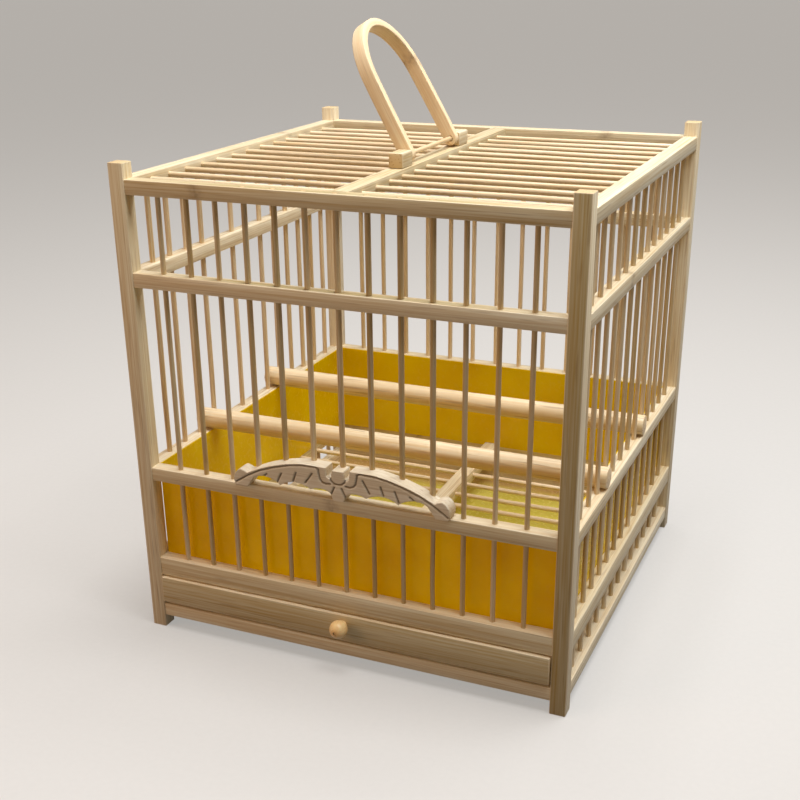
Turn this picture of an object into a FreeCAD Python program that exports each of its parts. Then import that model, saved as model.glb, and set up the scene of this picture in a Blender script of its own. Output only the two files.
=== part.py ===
"""A square bamboo bird cage: corner posts, drilled rails and slender bars, yellow splash panels round
a raised floor grille, a pull-out drawer under it, a door that lifts between the front bars,
two perches and a bow handle that swings on a pin over the roof.

Lengths are millimetres. +Z is up, the door faces -Y, and the origin is the middle of the footprint.
"""
import FreeCAD, Part
import math
import os
import re

import Sketcher

# Counts and shares, which are not lengths.
BARS = 13
DOOR_BARS = 7
BAR_SIDES = 6
BAR_CORNER_SHARE = 1.1
FRONT_PERCH_GAP_INDEX = 3
REAR_PERCH_GAP_INDEX = 8
BOW_TILT_DEGREES = 30
BOW_CROWN_SHARE = 0.96
BOW_END_SHARE = 0.48
KNOB_HEIGHT_SHARE = 0.65
DOOR_SEAT_SHARE = 0.42

# The driving dimensions: one cell of the sheet each.
SIZES = [
    ("width", "230"),
    ("depth", "230"),
    ("post_side", "8"),
    ("post_chamfer", "0.7"),
    ("post_rise", "7.5"),
    ("rail_recess", "0.5"),
    ("rail_height", "7"),
    ("lower_rail_height", "10"),
    ("foot_height", "7"),
    ("drawer_opening", "17.5"),
    ("panel_opening", "44.2"),
    ("door_opening", "93.8"),
    ("upper_opening", "37"),
    ("tenon_thickness", "3.2"),
    ("tenon_shoulder", "1.2"),
    ("tenon_gap", "0.4"),
    ("joint_clearance", "0.1"),
    ("overrun", "1"),
    ("bar_diameter", "2.75"),
    ("bar_clearance", "0.1"),
    ("bar_wall", "0.6"),
    ("socket_depth", "2.4"),
    ("cross_bar_width", "8.5"),
    ("door_clearance", "0.35"),
    ("door_bar_drop", "0.6"),
    ("carving_gap", "2.2"),
    ("carving_height", "17.2"),
    ("carving_thickness", "8"),
    ("carving_overhang", "2.7"),
    ("carving_rest_gap", "0.1"),
    ("perch_clearance", "0.77"),
    ("perch_rest_gap", "0.3"),
    ("panel_thickness", "0.6"),
    ("panel_seat_gap", "0.3"),
    ("panel_top_gap", "0.4"),
    ("panel_end_gap", "0.2"),
    ("runner_width", "8"),
    ("runner_height", "4"),
    ("drawer_side_gap", "0.5"),
    ("drawer_rest_gap", "0.3"),
    ("drawer_front_gap", "2"),
    ("drawer_headroom", "0.9"),
    ("drawer_front_thickness", "7.5"),
    ("drawer_proud", "1"),
    ("drawer_back_gap", "1"),
    ("drawer_wall", "5"),
    ("drawer_wall_height", "11"),
    ("drawer_base_thickness", "0.8"),
    ("drawer_base_height", "4"),
    ("drawer_groove_depth", "2"),
    ("knob_diameter", "9.2"),
    ("knob_neck_diameter", "5"),
    ("knob_neck_length", "0.8"),
    ("knob_tip_length", "1.3"),
    ("knob_dowel_diameter", "3"),
    ("knob_dowel_cover", "2.5"),
    ("bow_span", "63"),
    ("bow_rise", "68"),
    ("bow_width", "7"),
    ("bow_thickness", "4"),
    ("bow_lift", "1"),
    ("bow_side_gap", "0.4"),
    ("bow_hole_clearance", "0.4"),
    ("pin_diameter", "2.4"),
    ("pin_clearance", "0.05"),
    ("pin_seat", "7"),
    ("block_length", "13"),
    ("block_width", "7.5"),
    ("block_cover", "1.6"),
]

doc = FreeCAD.newDocument("BambooBirdCage")
sheet = doc.addObject("Spreadsheet::Sheet", "Sizes")
for row, (alias, text) in enumerate(SIZES, start=1):
    sheet.set(f"A{row}", alias)
    sheet.set(f"B{row}", text)
    sheet.setAlias(f"B{row}", alias)
doc.recompute()

subparts = []


# Helpers: formulas are written in the sheet's own words and bound to its cells.
def formula(text):
    """Turn words such as post_side into references to the sheet's cells."""
    return re.sub(r"[a-z][a-z_]*", lambda word: f"Sizes.{word.group()}", str(text))


def value(text):
    """The present value of a formula."""
    return float(sheet.evalExpression(formula(text)))


def bind(feature, **properties):
    """Bind each property to a formula; double underscores stand for dots."""
    for name, text in properties.items():
        feature.setExpression(name.replace("__", "."), formula(text))


def locate(feature, x, y, z, rotation=None):
    """Turn a feature, then bind its place to three formulas."""
    feature.Placement = FreeCAD.Placement(FreeCAD.Vector(), rotation or FreeCAD.Rotation())
    bind(feature, Placement__Base__x=x, Placement__Base__y=y, Placement__Base__z=z)


def box(name, x_range, y_range, z_range):
    """A box between two formulas along each axis."""
    feature = doc.addObject("Part::Box", name)
    bind(
        feature,
        Length=f"({x_range[1]}) - ({x_range[0]})",
        Width=f"({y_range[1]}) - ({y_range[0]})",
        Height=f"({z_range[1]}) - ({z_range[0]})",
    )
    locate(feature, x_range[0], y_range[0], z_range[0])
    return feature


ALONG_X = FreeCAD.Rotation(FreeCAD.Vector(0, 1, 0), 90)
ALONG_Y = FreeCAD.Rotation(FreeCAD.Vector(1, 0, 0), -90)


def bar(name, radius, start, length, rotation=None):
    """One many-sided bar from its start point along Z, or along the turned axis."""
    feature = doc.addObject("Part::Prism", name)
    feature.Polygon = BAR_SIDES
    bind(feature, Circumradius=radius, Height=length)
    locate(feature, *start, rotation)
    return feature


def rod(name, radius, start, length, rotation):
    """One round rod from its start point along the turned axis."""
    feature = doc.addObject("Part::Cylinder", name)
    bind(feature, Radius=radius, Height=length)
    locate(feature, *start, rotation)
    return feature


def group(name, features):
    """Separate solids kept together as one piece."""
    feature = doc.addObject("Part::Compound", name)
    feature.Links = features
    return feature


def fuse(name, base, tool):
    feature = doc.addObject("Part::Fuse", name)
    feature.Base = base
    feature.Tool = tool
    return feature


def cut(name, base, tools):
    """Take one or more tool shapes out of a base shape."""
    feature = doc.addObject("Part::Cut", name)
    feature.Base = base
    feature.Tool = tools[0] if len(tools) == 1 else group(f"{name}_tools", tools)
    return feature


def keep(feature, label):
    """Name a finished sub-part."""
    feature.Label = label
    subparts.append(feature)


def origin_plane(body, role):
    return next(plane for plane in body.Origin.OriginFeatures if plane.Role == role)


def new_sketch(body, name, role):
    sketch = body.newObject("Sketcher::SketchObject", name)
    sketch.AttachmentSupport = [(origin_plane(body, role), "")]
    sketch.MapMode = "FlatFace"
    return sketch


ORIGIN_INDEX_PAIR = (-1, 1)
X_AXIS_INDEX = -1
Y_AXIS_INDEX = -2
EDGE_END_INDICES = (1, 2)


def pin_point(sketch, geometry, end, x, y):
    """Hold one point of a sketch at two formulas, on an axis where the formula is zero."""
    for text, kind, axis in ((x, "DistanceX", Y_AXIS_INDEX), (y, "DistanceY", X_AXIS_INDEX)):
        if text == "0":
            sketch.addConstraint(Sketcher.Constraint("PointOnObject", geometry, end, axis))
            continue
        distance = Sketcher.Constraint(kind, *ORIGIN_INDEX_PAIR, geometry, end, value(text))
        index = sketch.addConstraint(distance)
        sketch.setExpression(f"Constraints[{index}]", formula(text))


def closed_outline(sketch, steps):
    """Draw a closed outline: each step is (x, y) for a straight edge to that point,
    or (x, y, via_x, via_y) for an arc to it through a point between."""
    corners = [FreeCAD.Vector(value(step[0]), value(step[1]), 0) for step in steps]
    edges = []
    for index, step in enumerate(steps):
        start = corners[index - 1]
        finish = corners[index]
        if len(step) == 2:
            edges.append(sketch.addGeometry(Part.LineSegment(start, finish)))
            continue
        via = FreeCAD.Vector(value(step[2]), value(step[3]), 0)
        edges.append(sketch.addGeometry(Part.Arc(start, via, finish)))

    def end_at(edge, point):
        """Which end of the edge lies at the point: 1 or 2."""
        return min(
            EDGE_END_INDICES,
            key=lambda end: sketch.getPoint(edge, end).distanceToPoint(point),
        )

    for index, step in enumerate(steps):
        edge = edges[index]
        follower = edges[(index + 1) % len(edges)]
        here = corners[index]
        joint = (edge, end_at(edge, here), follower, end_at(follower, here))
        sketch.addConstraint(Sketcher.Constraint("Coincident", *joint))
        pin_point(sketch, edge, end_at(edge, here), step[0], step[1])
        if len(step) == 4:
            via = FreeCAD.Vector(value(step[2]), value(step[3]), 0)
            guide = sketch.addGeometry(Part.Point(via), True)
            sketch.addConstraint(Sketcher.Constraint("PointOnObject", guide, 1, edge))
            pin_point(sketch, guide, 1, step[2], step[3])


# Places that several sub-parts share.
HALF_WIDTH = "(width / 2)"
HALF_DEPTH = "(depth / 2)"
INNER_X = "(width / 2 - post_side)"
INNER_Y = "(depth / 2 - post_side)"
RAIL_DEPTH = "(post_side - rail_recess)"
RAIL_X = f"({INNER_X} + {RAIL_DEPTH} / 2)"
RAIL_Y = f"({INNER_Y} + {RAIL_DEPTH} / 2)"
PITCH_X = f"(2 * {INNER_X} / {BARS + 1})"
PITCH_Y = f"(2 * {INNER_Y} / {BARS + 1})"
TENON_REACH = f"(({RAIL_DEPTH} - tenon_thickness) / 2 - tenon_gap)"
# A bar's corners stand out past its round size, so that its section has the round bar's area.
BAR_RADIUS = f"({BAR_CORNER_SHARE} * bar_diameter / 2)"
HOLE_RADIUS = f"({BAR_CORNER_SHARE} * (bar_diameter / 2 + bar_clearance))"
GUIDE_RADIUS = f"({BAR_CORNER_SHARE} * (bar_diameter / 2 + door_clearance))"

BOTTOM = ("foot_height", "(foot_height + rail_height)")
LOWER = (f"({BOTTOM[1]} + drawer_opening)", f"({BOTTOM[1]} + drawer_opening + lower_rail_height)")
MIDDLE = (f"({LOWER[1]} + panel_opening)", f"({LOWER[1]} + panel_opening + rail_height)")
UPPER = (f"({MIDDLE[1]} + door_opening)", f"({MIDDLE[1]} + door_opening + rail_height)")
TOP = (f"({UPPER[1]} + upper_opening)", f"({UPPER[1]} + upper_opening + rail_height)")
LEVELS = {"bottom": BOTTOM, "lower": LOWER, "middle": MIDDLE, "upper": UPPER, "top": TOP}
POST_TOP = f"({TOP[1]} + post_rise)"
ROOF_BAR_Z = f"(({TOP[0]} + {TOP[1]}) / 2)"
FLOOR_BAR_Z = f"(({LOWER[0]} + {LOWER[1]}) / 2)"


def bar_x(index):
    """Where bar number index stands along the front and back, from the left."""
    return f"({index} * {PITCH_X} - {INNER_X})"


def bar_y(index):
    """Where bar number index stands along the sides, from the front."""
    return f"({index} * {PITCH_Y} - {INNER_Y})"


# Upright bars of the four walls, and the holes drilled for them.
ALL_BARS = range(1, BARS + 1)
FIRST_DOOR_BAR = (BARS - DOOR_BARS) // 2 + 1
DOOR_INDEXES = range(FIRST_DOOR_BAR, FIRST_DOOR_BAR + DOOR_BARS)
LEFT_INDEXES = range(1, FIRST_DOOR_BAR)
RIGHT_INDEXES = range(FIRST_DOOR_BAR + DOOR_BARS, BARS + 1)
WALL_SPAN = (BOTTOM[1], TOP[0])
WALL_DRILL_SPAN = (f"({LOWER[0]} - overrun)", f"({UPPER[1]} + overrun)")
FRONT_SPAN = (LOWER[1], TOP[0])
FRONT_DRILL_SPAN = (f"({MIDDLE[0]} - overrun)", f"({UPPER[1]} + overrun)")
SHORT_SPAN = (f"({LOWER[1]} - socket_depth)", f"({MIDDLE[0]} + socket_depth)")


def uprights(name, places, span, radius, slack="0"):
    """Upright bars or drills at the given places, each end longer by the slack."""
    start = f"({span[0]} - {slack})"
    length = f"({span[1]} - {span[0]} + 2 * {slack})"
    return [
        bar(f"{name}_{number}", radius, (x, y, start), length)
        for number, (x, y) in enumerate(places, start=1)
    ]


def front_places(indexes):
    return [(bar_x(index), f"-{RAIL_Y}") for index in indexes]


WALL_PLACES = {
    "back": [(bar_x(index), RAIL_Y) for index in ALL_BARS],
    "left": [(f"-{RAIL_X}", bar_y(index)) for index in ALL_BARS],
    "right": [(RAIL_X, bar_y(index)) for index in ALL_BARS],
}
drills = {}
for side, places in WALL_PLACES.items():
    bars = uprights(f"{side}_bar", places, WALL_SPAN, BAR_RADIUS)
    keep(group(f"{side}_bars", bars), f"{side}_bars")
    drills[side] = uprights(f"{side}_drill", places, WALL_DRILL_SPAN, HOLE_RADIUS)

for name, indexes in (("left", LEFT_INDEXES), ("right", RIGHT_INDEXES)):
    bars = uprights(f"front_{name}_bar", front_places(indexes), FRONT_SPAN, BAR_RADIUS)
    keep(group(f"front_bars_{name}", bars), f"front_bars_{name}")
bars = uprights("short_bar", front_places(DOOR_INDEXES), SHORT_SPAN, BAR_RADIUS)
keep(group("front_bars_below_door", bars), "front_bars_below_door")

fixed_indexes = [*LEFT_INDEXES, *RIGHT_INDEXES]
front_drills = uprights(
    "front_drill", front_places(fixed_indexes), FRONT_DRILL_SPAN, HOLE_RADIUS
)
short_drills = uprights(
    "short_drill", front_places(DOOR_INDEXES), SHORT_SPAN, HOLE_RADIUS, "joint_clearance"
)
GUIDE_SPAN = (f"({UPPER[0]} - overrun)", f"({TOP[1]} + overrun)")
guide_drills = uprights("guide_drill", front_places(DOOR_INDEXES), GUIDE_SPAN, GUIDE_RADIUS)

# Level bars of the roof and of the floor grille, through a cross bar and into the side rails.
LEVEL_REACH = f"({RAIL_DEPTH} / 2 - {BAR_RADIUS} - bar_wall)"


def level_bars(name, z, radius, slack="0"):
    """Bars from the left rails to the right ones, each end longer by the slack."""
    start = f"(-{INNER_X} - {LEVEL_REACH} - {slack})"
    length = f"(2 * ({INNER_X} + {LEVEL_REACH} + {slack}))"
    return [bar(f"{name}_{i}", radius, (start, bar_y(i), z), length, ALONG_X) for i in ALL_BARS]


CROSS_REACH = f"({RAIL_DEPTH} / 2 - {GUIDE_RADIUS} - bar_wall)"


def cross_tenon(name, level_z, slack):
    """The tongue of a cross bar, which runs from the front rail to the back one."""
    half_x = f"(cross_bar_width / 2 - tenon_shoulder + {slack})"
    half_z = f"(rail_height / 2 - tenon_shoulder + {slack})"
    reach = f"({INNER_Y} + {CROSS_REACH} + {slack})"
    return box(
        name,
        (f"-{half_x}", half_x),
        (f"-{reach}", reach),
        (f"({level_z} - {half_z})", f"({level_z} + {half_z})"),
    )


cross_mortises = {}
for place, level_z in (("roof", ROOF_BAR_Z), ("floor", FLOOR_BAR_Z)):
    keep(group(f"{place}_bars", level_bars(f"{place}_bar", level_z, BAR_RADIUS)), f"{place}_bars")
    drills[place] = level_bars(f"{place}_drill", level_z, HOLE_RADIUS, "joint_clearance")
    beam = box(
        f"{place}_beam",
        ("-cross_bar_width / 2", "cross_bar_width / 2"),
        (f"-{INNER_Y}", INNER_Y),
        (f"({level_z} - rail_height / 2)", f"({level_z} + rail_height / 2)"),
    )
    beam = fuse(f"{place}_beam_with_tongues", beam, cross_tenon(f"{place}_tongue", level_z, "0"))
    keep(cut(f"{place}_cross_bar", beam, drills[place]), f"{place}_cross_bar")
    cross_mortises[place] = cross_tenon(f"{place}_cross_mortise", level_z, "joint_clearance")


# Rails between the posts, with stub tenons at both ends.
def rail_box(name, side, low_z, high_z, reach, inset):
    """A length of rail on one side: reach past the inner post faces, inset from both rail faces."""
    near = f"({INNER_Y} + {inset})" if side in ("front", "back") else f"({INNER_X} + {inset})"
    far = f"({HALF_DEPTH} - rail_recess - {inset})"
    if side in ("left", "right"):
        far = f"({HALF_WIDTH} - rail_recess - {inset})"
    across = (near, far) if side in ("back", "right") else (f"-{far}", f"-{near}")
    if side in ("front", "back"):
        along = f"({INNER_X} + {reach})"
        return box(name, (f"-{along}", along), across, (low_z, high_z))
    along = f"({INNER_Y} + {reach})"
    return box(name, across, (f"-{along}", along), (low_z, high_z))


def tenon_box(name, side, level, slack):
    """The tongue of a rail from one post to the other, or with slack its mortises."""
    low_z, high_z = LEVELS[level]
    return rail_box(
        name,
        side,
        f"({low_z} + tenon_shoulder - {slack})",
        f"({high_z} - tenon_shoulder + {slack})",
        f"({TENON_REACH} + {slack})",
        f"(({RAIL_DEPTH} - tenon_thickness) / 2 - {slack})",
    )


RAIL_DRILLS = {
    ("front", "top"): [*guide_drills, cross_mortises["roof"]],
    ("front", "upper"): [*front_drills, *guide_drills],
    ("front", "middle"): [*front_drills, *short_drills],
    ("front", "lower"): [*short_drills, cross_mortises["floor"]],
    ("back", "top"): [cross_mortises["roof"]],
    ("back", "upper"): drills["back"],
    ("back", "middle"): drills["back"],
    ("back", "lower"): [*drills["back"], cross_mortises["floor"]],
}
for side in ("left", "right"):
    RAIL_DRILLS[side, "top"] = drills["roof"]
    RAIL_DRILLS[side, "upper"] = drills[side]
    RAIL_DRILLS[side, "middle"] = drills[side]
    RAIL_DRILLS[side, "lower"] = [*drills[side], *drills["floor"]]
mortises = {}
for side in ("front", "back", "left", "right"):
    mortises[side] = []
    for level, (low_z, high_z) in LEVELS.items():
        label = f"rail_{side}_{level}"
        strip = rail_box(f"{label}_strip", side, low_z, high_z, "0", "0")
        rail = fuse(f"{label}_blank", strip, tenon_box(f"{label}_tongue", side, level, "0"))
        if (side, level) in RAIL_DRILLS:
            rail = cut(label, rail, RAIL_DRILLS[side, level])
        keep(rail, label)
        mortises[side].append(tenon_box(f"{label}_mortise", side, level, "joint_clearance"))

# Corner posts: square sticks with eased ends, mortised for the rails of two sides.
for side_x in ("left", "right"):
    for side_y in ("front", "back"):
        label = f"post_{side_y}_{side_x}"
        x_range = (INNER_X, HALF_WIDTH) if side_x == "right" else (f"-{HALF_WIDTH}", f"-{INNER_X}")
        y_range = (INNER_Y, HALF_DEPTH) if side_y == "back" else (f"-{HALF_DEPTH}", f"-{INNER_Y}")
        stick = box(f"{label}_stick", x_range, y_range, ("0", POST_TOP))
        doc.recompute()
        eased = doc.addObject("Part::Chamfer", f"{label}_eased")
        eased.Base = stick
        size = value("post_chamfer")
        eased.Edges = [
            (number, size, size)
            for number, edge in enumerate(stick.Shape.Edges, start=1)
            if abs(edge.Vertexes[0].Z - edge.Vertexes[1].Z) < size
        ]
        post = cut(f"{label}_part", eased, mortises[side_y])
        keep(cut(label, post, mortises[side_x]), label)

# Splash panels inside the lower walls, resting on the floor grille.
PANEL_Z = (f"({FLOOR_BAR_Z} + {BAR_RADIUS} + panel_seat_gap)", f"({MIDDLE[1]} - panel_top_gap)")
PANEL_X = (f"({INNER_X} - panel_thickness)", INNER_X)
PANEL_Y = (f"({INNER_Y} - panel_thickness)", INNER_Y)
PANEL_HALF_X = f"({INNER_X} - panel_end_gap)"
PANEL_HALF_Y = f"({INNER_Y} - panel_thickness - panel_end_gap)"
NOTCH_HALF = "(cross_bar_width / 2 + panel_seat_gap)"
for side, y_range in (("front", (f"-{PANEL_Y[1]}", f"-{PANEL_Y[0]}")), ("back", PANEL_Y)):
    sheet_box = box(f"panel_{side}_sheet", (f"-{PANEL_HALF_X}", PANEL_HALF_X), y_range, PANEL_Z)
    notch = box(
        f"panel_{side}_notch",
        (f"-{NOTCH_HALF}", NOTCH_HALF),
        (f"({y_range[0]} - overrun)", f"({y_range[1]} + overrun)"),
        (f"({PANEL_Z[0]} - overrun)", f"({FLOOR_BAR_Z} + rail_height / 2 + panel_seat_gap)"),
    )
    keep(cut(f"panel_{side}", sheet_box, [notch]), f"panel_{side}")
for side, x_range in (("left", (f"-{PANEL_X[1]}", f"-{PANEL_X[0]}")), ("right", PANEL_X)):
    panel = box(f"panel_{side}", x_range, (f"-{PANEL_HALF_Y}", PANEL_HALF_Y), PANEL_Z)
    keep(panel, f"panel_{side}")

# Perches: round sticks on the middle side rails, each through a gap between two bars.
PERCH_RADIUS = f"(({PITCH_Y} - bar_diameter) / 2 - perch_clearance)"
PERCH_HALF = f"({HALF_WIDTH} - rail_recess)"
for name, gap in (("front", FRONT_PERCH_GAP_INDEX), ("rear", REAR_PERCH_GAP_INDEX)):
    centre_y = f"(({bar_y(gap)} + {bar_y(gap + 1)}) / 2)"
    centre_z = f"({MIDDLE[1]} + perch_rest_gap + {PERCH_RADIUS})"
    start = (f"-{PERCH_HALF}", centre_y, centre_z)
    perch = rod(f"perch_{name}", PERCH_RADIUS, start, f"2 * {PERCH_HALF}", ALONG_X)
    keep(perch, f"perch_{name}")

# Drawer: it slides on two runners under the floor grille, between the lower and bottom rails.
RUNNER_Z = (f"({BOTTOM[1]} - runner_height)", BOTTOM[1])
for side, x_range in (
    ("left", (f"-{INNER_X}", f"(runner_width - {INNER_X})")),
    ("right", (f"({INNER_X} - runner_width)", INNER_X)),
):
    runner = box(f"drawer_runner_{side}", x_range, (f"-{INNER_Y}", INNER_Y), RUNNER_Z)
    keep(runner, f"drawer_runner_{side}")

DRAWER_X = f"({INNER_X} - drawer_side_gap)"
DRAWER_Z = f"({BOTTOM[1]} + drawer_rest_gap)"
FRONT_Z = (f"({BOTTOM[1]} + drawer_front_gap)", f"({LOWER[0]} - drawer_headroom)")
FRONT_Y = (
    f"(-{HALF_DEPTH} - drawer_proud)",
    f"(drawer_front_thickness - {HALF_DEPTH} - drawer_proud)",
)
WALL_Z = (DRAWER_Z, f"({DRAWER_Z} + drawer_wall_height)")
DRAWER_BACK_Y = f"({INNER_Y} - drawer_back_gap)"
TRAY_X = f"({DRAWER_X} - drawer_wall)"
TRAY_BACK_Y = f"({DRAWER_BACK_Y} - drawer_wall)"


def base_sheet(name, slack):
    """The drawer's bottom sheet, or with slack the groove that it slides into."""
    half_x = f"({TRAY_X} + drawer_groove_depth + {slack})"
    low_z = f"({DRAWER_Z} + drawer_base_height - {slack})"
    return box(
        name,
        (f"-{half_x}", half_x),
        (
            f"({FRONT_Y[1]} - drawer_groove_depth - {slack})",
            f"({TRAY_BACK_Y} + drawer_groove_depth + {slack})",
        ),
        (low_z, f"({low_z} + drawer_base_thickness + 2 * {slack})"),
    )


groove = base_sheet("drawer_groove", "joint_clearance")
keep(base_sheet("drawer_base", "0"), "drawer_base")

front_board = box("drawer_front_board", (f"-{DRAWER_X}", DRAWER_X), FRONT_Y, FRONT_Z)
KNOB_Z = f"({FRONT_Z[0]} + {KNOB_HEIGHT_SHARE} * ({FRONT_Z[1]} - {FRONT_Z[0]}))"
DOWEL_LENGTH = "(drawer_front_thickness - knob_dowel_cover)"
dowel_hole = rod(
    "knob_dowel_hole",
    "(knob_dowel_diameter / 2 + joint_clearance)",
    ("0", f"({FRONT_Y[0]} - overrun)", KNOB_Z),
    f"({DOWEL_LENGTH} + joint_clearance + overrun)",
    ALONG_Y,
)
keep(cut("drawer_front", front_board, [groove, dowel_hole]), "drawer_front")
for side, x_range in (("left", (f"-{DRAWER_X}", f"-{TRAY_X}")), ("right", (TRAY_X, DRAWER_X))):
    board = box(f"drawer_side_{side}_board", x_range, (FRONT_Y[1], DRAWER_BACK_Y), WALL_Z)
    keep(cut(f"drawer_side_{side}", board, [groove]), f"drawer_side_{side}")
back_board = box(
    "drawer_back_board", (f"-{TRAY_X}", TRAY_X), (TRAY_BACK_Y, DRAWER_BACK_Y), WALL_Z
)
keep(cut("drawer_back", back_board, [groove]), "drawer_back")

# Turned knob: a dowel, a short neck and a pointed ball, spun about its own Z axis.
# The ball is turned in straight bands: shares of its radius and of its height.
BALL_SHARES = [(1, 0.34), (1, 0.62), (0.34, 1)]
knob = doc.addObject("PartDesign::Body", "drawer_knob")
knob_sketch = new_sketch(knob, "knob_profile", "XZ_Plane")
NECK_END = f"({DOWEL_LENGTH} + knob_neck_length)"
closed_outline(
    knob_sketch,
    [
        ("0", "0"),
        ("knob_dowel_diameter / 2", "0"),
        ("knob_dowel_diameter / 2", DOWEL_LENGTH),
        ("knob_neck_diameter / 2", DOWEL_LENGTH),
        ("knob_neck_diameter / 2", NECK_END),
        *(
            (f"{radius_share} * knob_diameter / 2", f"{NECK_END} + {height_share} * knob_diameter")
            for radius_share, height_share in BALL_SHARES
        ),
        ("0", f"{NECK_END} + knob_diameter + knob_tip_length"),
    ],
)
turned = knob.newObject("PartDesign::Revolution", "knob_turned")
turned.Profile = knob_sketch
turned.ReferenceAxis = (knob_sketch, ["V_Axis"])
turned.Angle = 360
TOWARDS_FRONT = FreeCAD.Rotation(FreeCAD.Vector(1, 0, 0), 90)
locate(knob, "0", f"({FRONT_Y[0]} + {DOWEL_LENGTH})", KNOB_Z, TOWARDS_FRONT)
keep(knob, "drawer_knob")

# Lifting door: a carved bat with spread wings, and the bars that it carries up through the rails.
CARVING_HALF = (
    f"({FIRST_DOOR_BAR + DOOR_BARS - (BARS + 1) // 2} * {PITCH_X} - {BAR_RADIUS} - carving_gap)"
)
CARVING_Z = f"({MIDDLE[1]} + carving_rest_gap)"
CARVING_FRONT_Y = f"(-{HALF_DEPTH} + rail_recess - carving_overhang)"
# Half of the outline, from the tail round the wing and back to the head: shares of the half width
# and of the height, with the point that an arc passes through after the point that it ends at.
BAT_SHARES = [
    ((0, 0.02),),
    ((0.045, 0.02),),
    ((0.075, 0.25),),
    ((0.255, 0.245), (0.165, 0.32)),
    ((0.54, 0.22), (0.39, 0.385)),
    ((0.79, 0.34), (0.665, 0.41)),
    ((0.86, 0),),
    ((0.985, 0),),
    ((0.94, 0.58), (1, 0.3)),
    ((0.865, 0.49), (0.9, 0.56)),
    ((0.3, 1), (0.6, 0.82)),
    ((0.13, 0.985),),
    ((0.06, 0.86), (0.1, 0.7)),
    ((0.05, 0.93),),
    ((0, 0.93),),
]


def bat_step(points):
    """One step of the outline, in formulas; a share of zero stays on the axis."""
    step = []
    for x_share, z_share in points:
        step.append(f"{x_share} * {CARVING_HALF}" if x_share else "0")
        step.append(f"{z_share} * carving_height" if z_share else "0")
    return tuple(step)


bat = doc.addObject("PartDesign::Body", "bat_blank")
bat_sketch = new_sketch(bat, "bat_outline", "XZ_Plane")
closed_outline(bat_sketch, [bat_step(points) for points in BAT_SHARES])
wing = bat.newObject("PartDesign::Pad", "bat_wing")
wing.Profile = bat_sketch
wing.Reversed = True
bind(wing, Length="carving_thickness")
doc.recompute()
both_wings = bat.newObject("PartDesign::Mirrored", "bat_both_wings")
both_wings.Originals = [wing]
both_wings.MirrorPlane = (origin_plane(bat, "YZ_Plane"), [""])
bat.Tip = both_wings
locate(bat, "0", CARVING_FRONT_Y, CARVING_Z)

DOOR_SPAN = (f"({CARVING_Z} + {DOOR_SEAT_SHARE} * carving_height)", f"({TOP[1]} - door_bar_drop)")
seat_drills = uprights(
    "seat_drill", front_places(DOOR_INDEXES), DOOR_SPAN, HOLE_RADIUS, "joint_clearance"
)
keep(cut("door_carving", bat, seat_drills), "door_carving")
bars = uprights("door_bar", front_places(DOOR_INDEXES), DOOR_SPAN, BAR_RADIUS)
keep(group("door_bars", bars), "door_bars")

# Bow handle: a bent strip whose arms turn on a pin between two blocks on the roof's cross bar.
PIN_Z = f"({TOP[1]} + bow_width / 2 + bow_lift)"
BLOCK_Y = (
    "(bow_span / 2 + bow_side_gap)",
    "(bow_span / 2 + bow_side_gap + block_length)",
)
PIN_HALF = f"({BLOCK_Y[0]} + pin_seat)"
pin_start = ("0", f"-{PIN_HALF}", PIN_Z)
pin = rod("handle_pin", "pin_diameter / 2", pin_start, f"2 * {PIN_HALF}", ALONG_Y)
keep(pin, "handle_pin")
pin_bore = rod(
    "pin_bore",
    "(pin_diameter / 2 + pin_clearance)",
    ("0", f"(-{PIN_HALF} - joint_clearance)", PIN_Z),
    f"2 * ({PIN_HALF} + joint_clearance)",
    ALONG_Y,
)
for name, y_range in (("front", (f"-{BLOCK_Y[1]}", f"-{BLOCK_Y[0]}")), ("rear", BLOCK_Y)):
    block = box(
        f"handle_block_{name}_blank",
        ("-block_width / 2", "block_width / 2"),
        y_range,
        (TOP[1], f"({PIN_Z} + pin_diameter / 2 + block_cover)"),
    )
    keep(cut(f"handle_block_{name}", block, [pin_bore]), f"handle_block_{name}")


def bow_arch(sketch, inset):
    """Half of one edge of the arch: a side arc that starts upright at the pin's level,
    then a crown arc to the top; returns both arcs."""
    half_span = value(f"bow_span / 2 - {inset}")
    rise = value(f"bow_rise - {inset}")
    crown = BOW_CROWN_SHARE * value("bow_span / 2") - value(inset)
    side = (half_span**2 + (rise - crown) ** 2 - crown**2) / (2 * (half_span - crown))
    crown_centre = FreeCAD.Vector(0, rise - crown, 0)
    side_centre = FreeCAD.Vector(half_span - side, 0, 0)
    turn = math.atan2(crown_centre.y, -side_centre.x)
    axis = FreeCAD.Vector(0, 0, 1)
    side_arc = sketch.addGeometry(
        Part.ArcOfCircle(Part.Circle(side_centre, axis, side), 0, turn)
    )
    crown_arc = sketch.addGeometry(
        Part.ArcOfCircle(Part.Circle(crown_centre, axis, crown), turn, math.pi / 2)
    )
    sketch.addConstraint(Sketcher.Constraint("Tangent", side_arc, 2, crown_arc, 1))
    sketch.addConstraint(Sketcher.Constraint("PointOnObject", side_arc, 3, X_AXIS_INDEX))
    sketch.addConstraint(Sketcher.Constraint("PointOnObject", crown_arc, 3, Y_AXIS_INDEX))
    pin_point(sketch, side_arc, 1, f"bow_span / 2 - {inset}", "0")
    pin_point(sketch, crown_arc, 2, "0", f"bow_rise - {inset}")
    radius = sketch.addConstraint(Sketcher.Constraint("Radius", crown_arc, crown))
    crown_formula = formula(f"{BOW_CROWN_SHARE} * bow_span / 2 - {inset}")
    sketch.setExpression(f"Constraints[{radius}]", crown_formula)
    return side_arc, crown_arc


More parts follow.
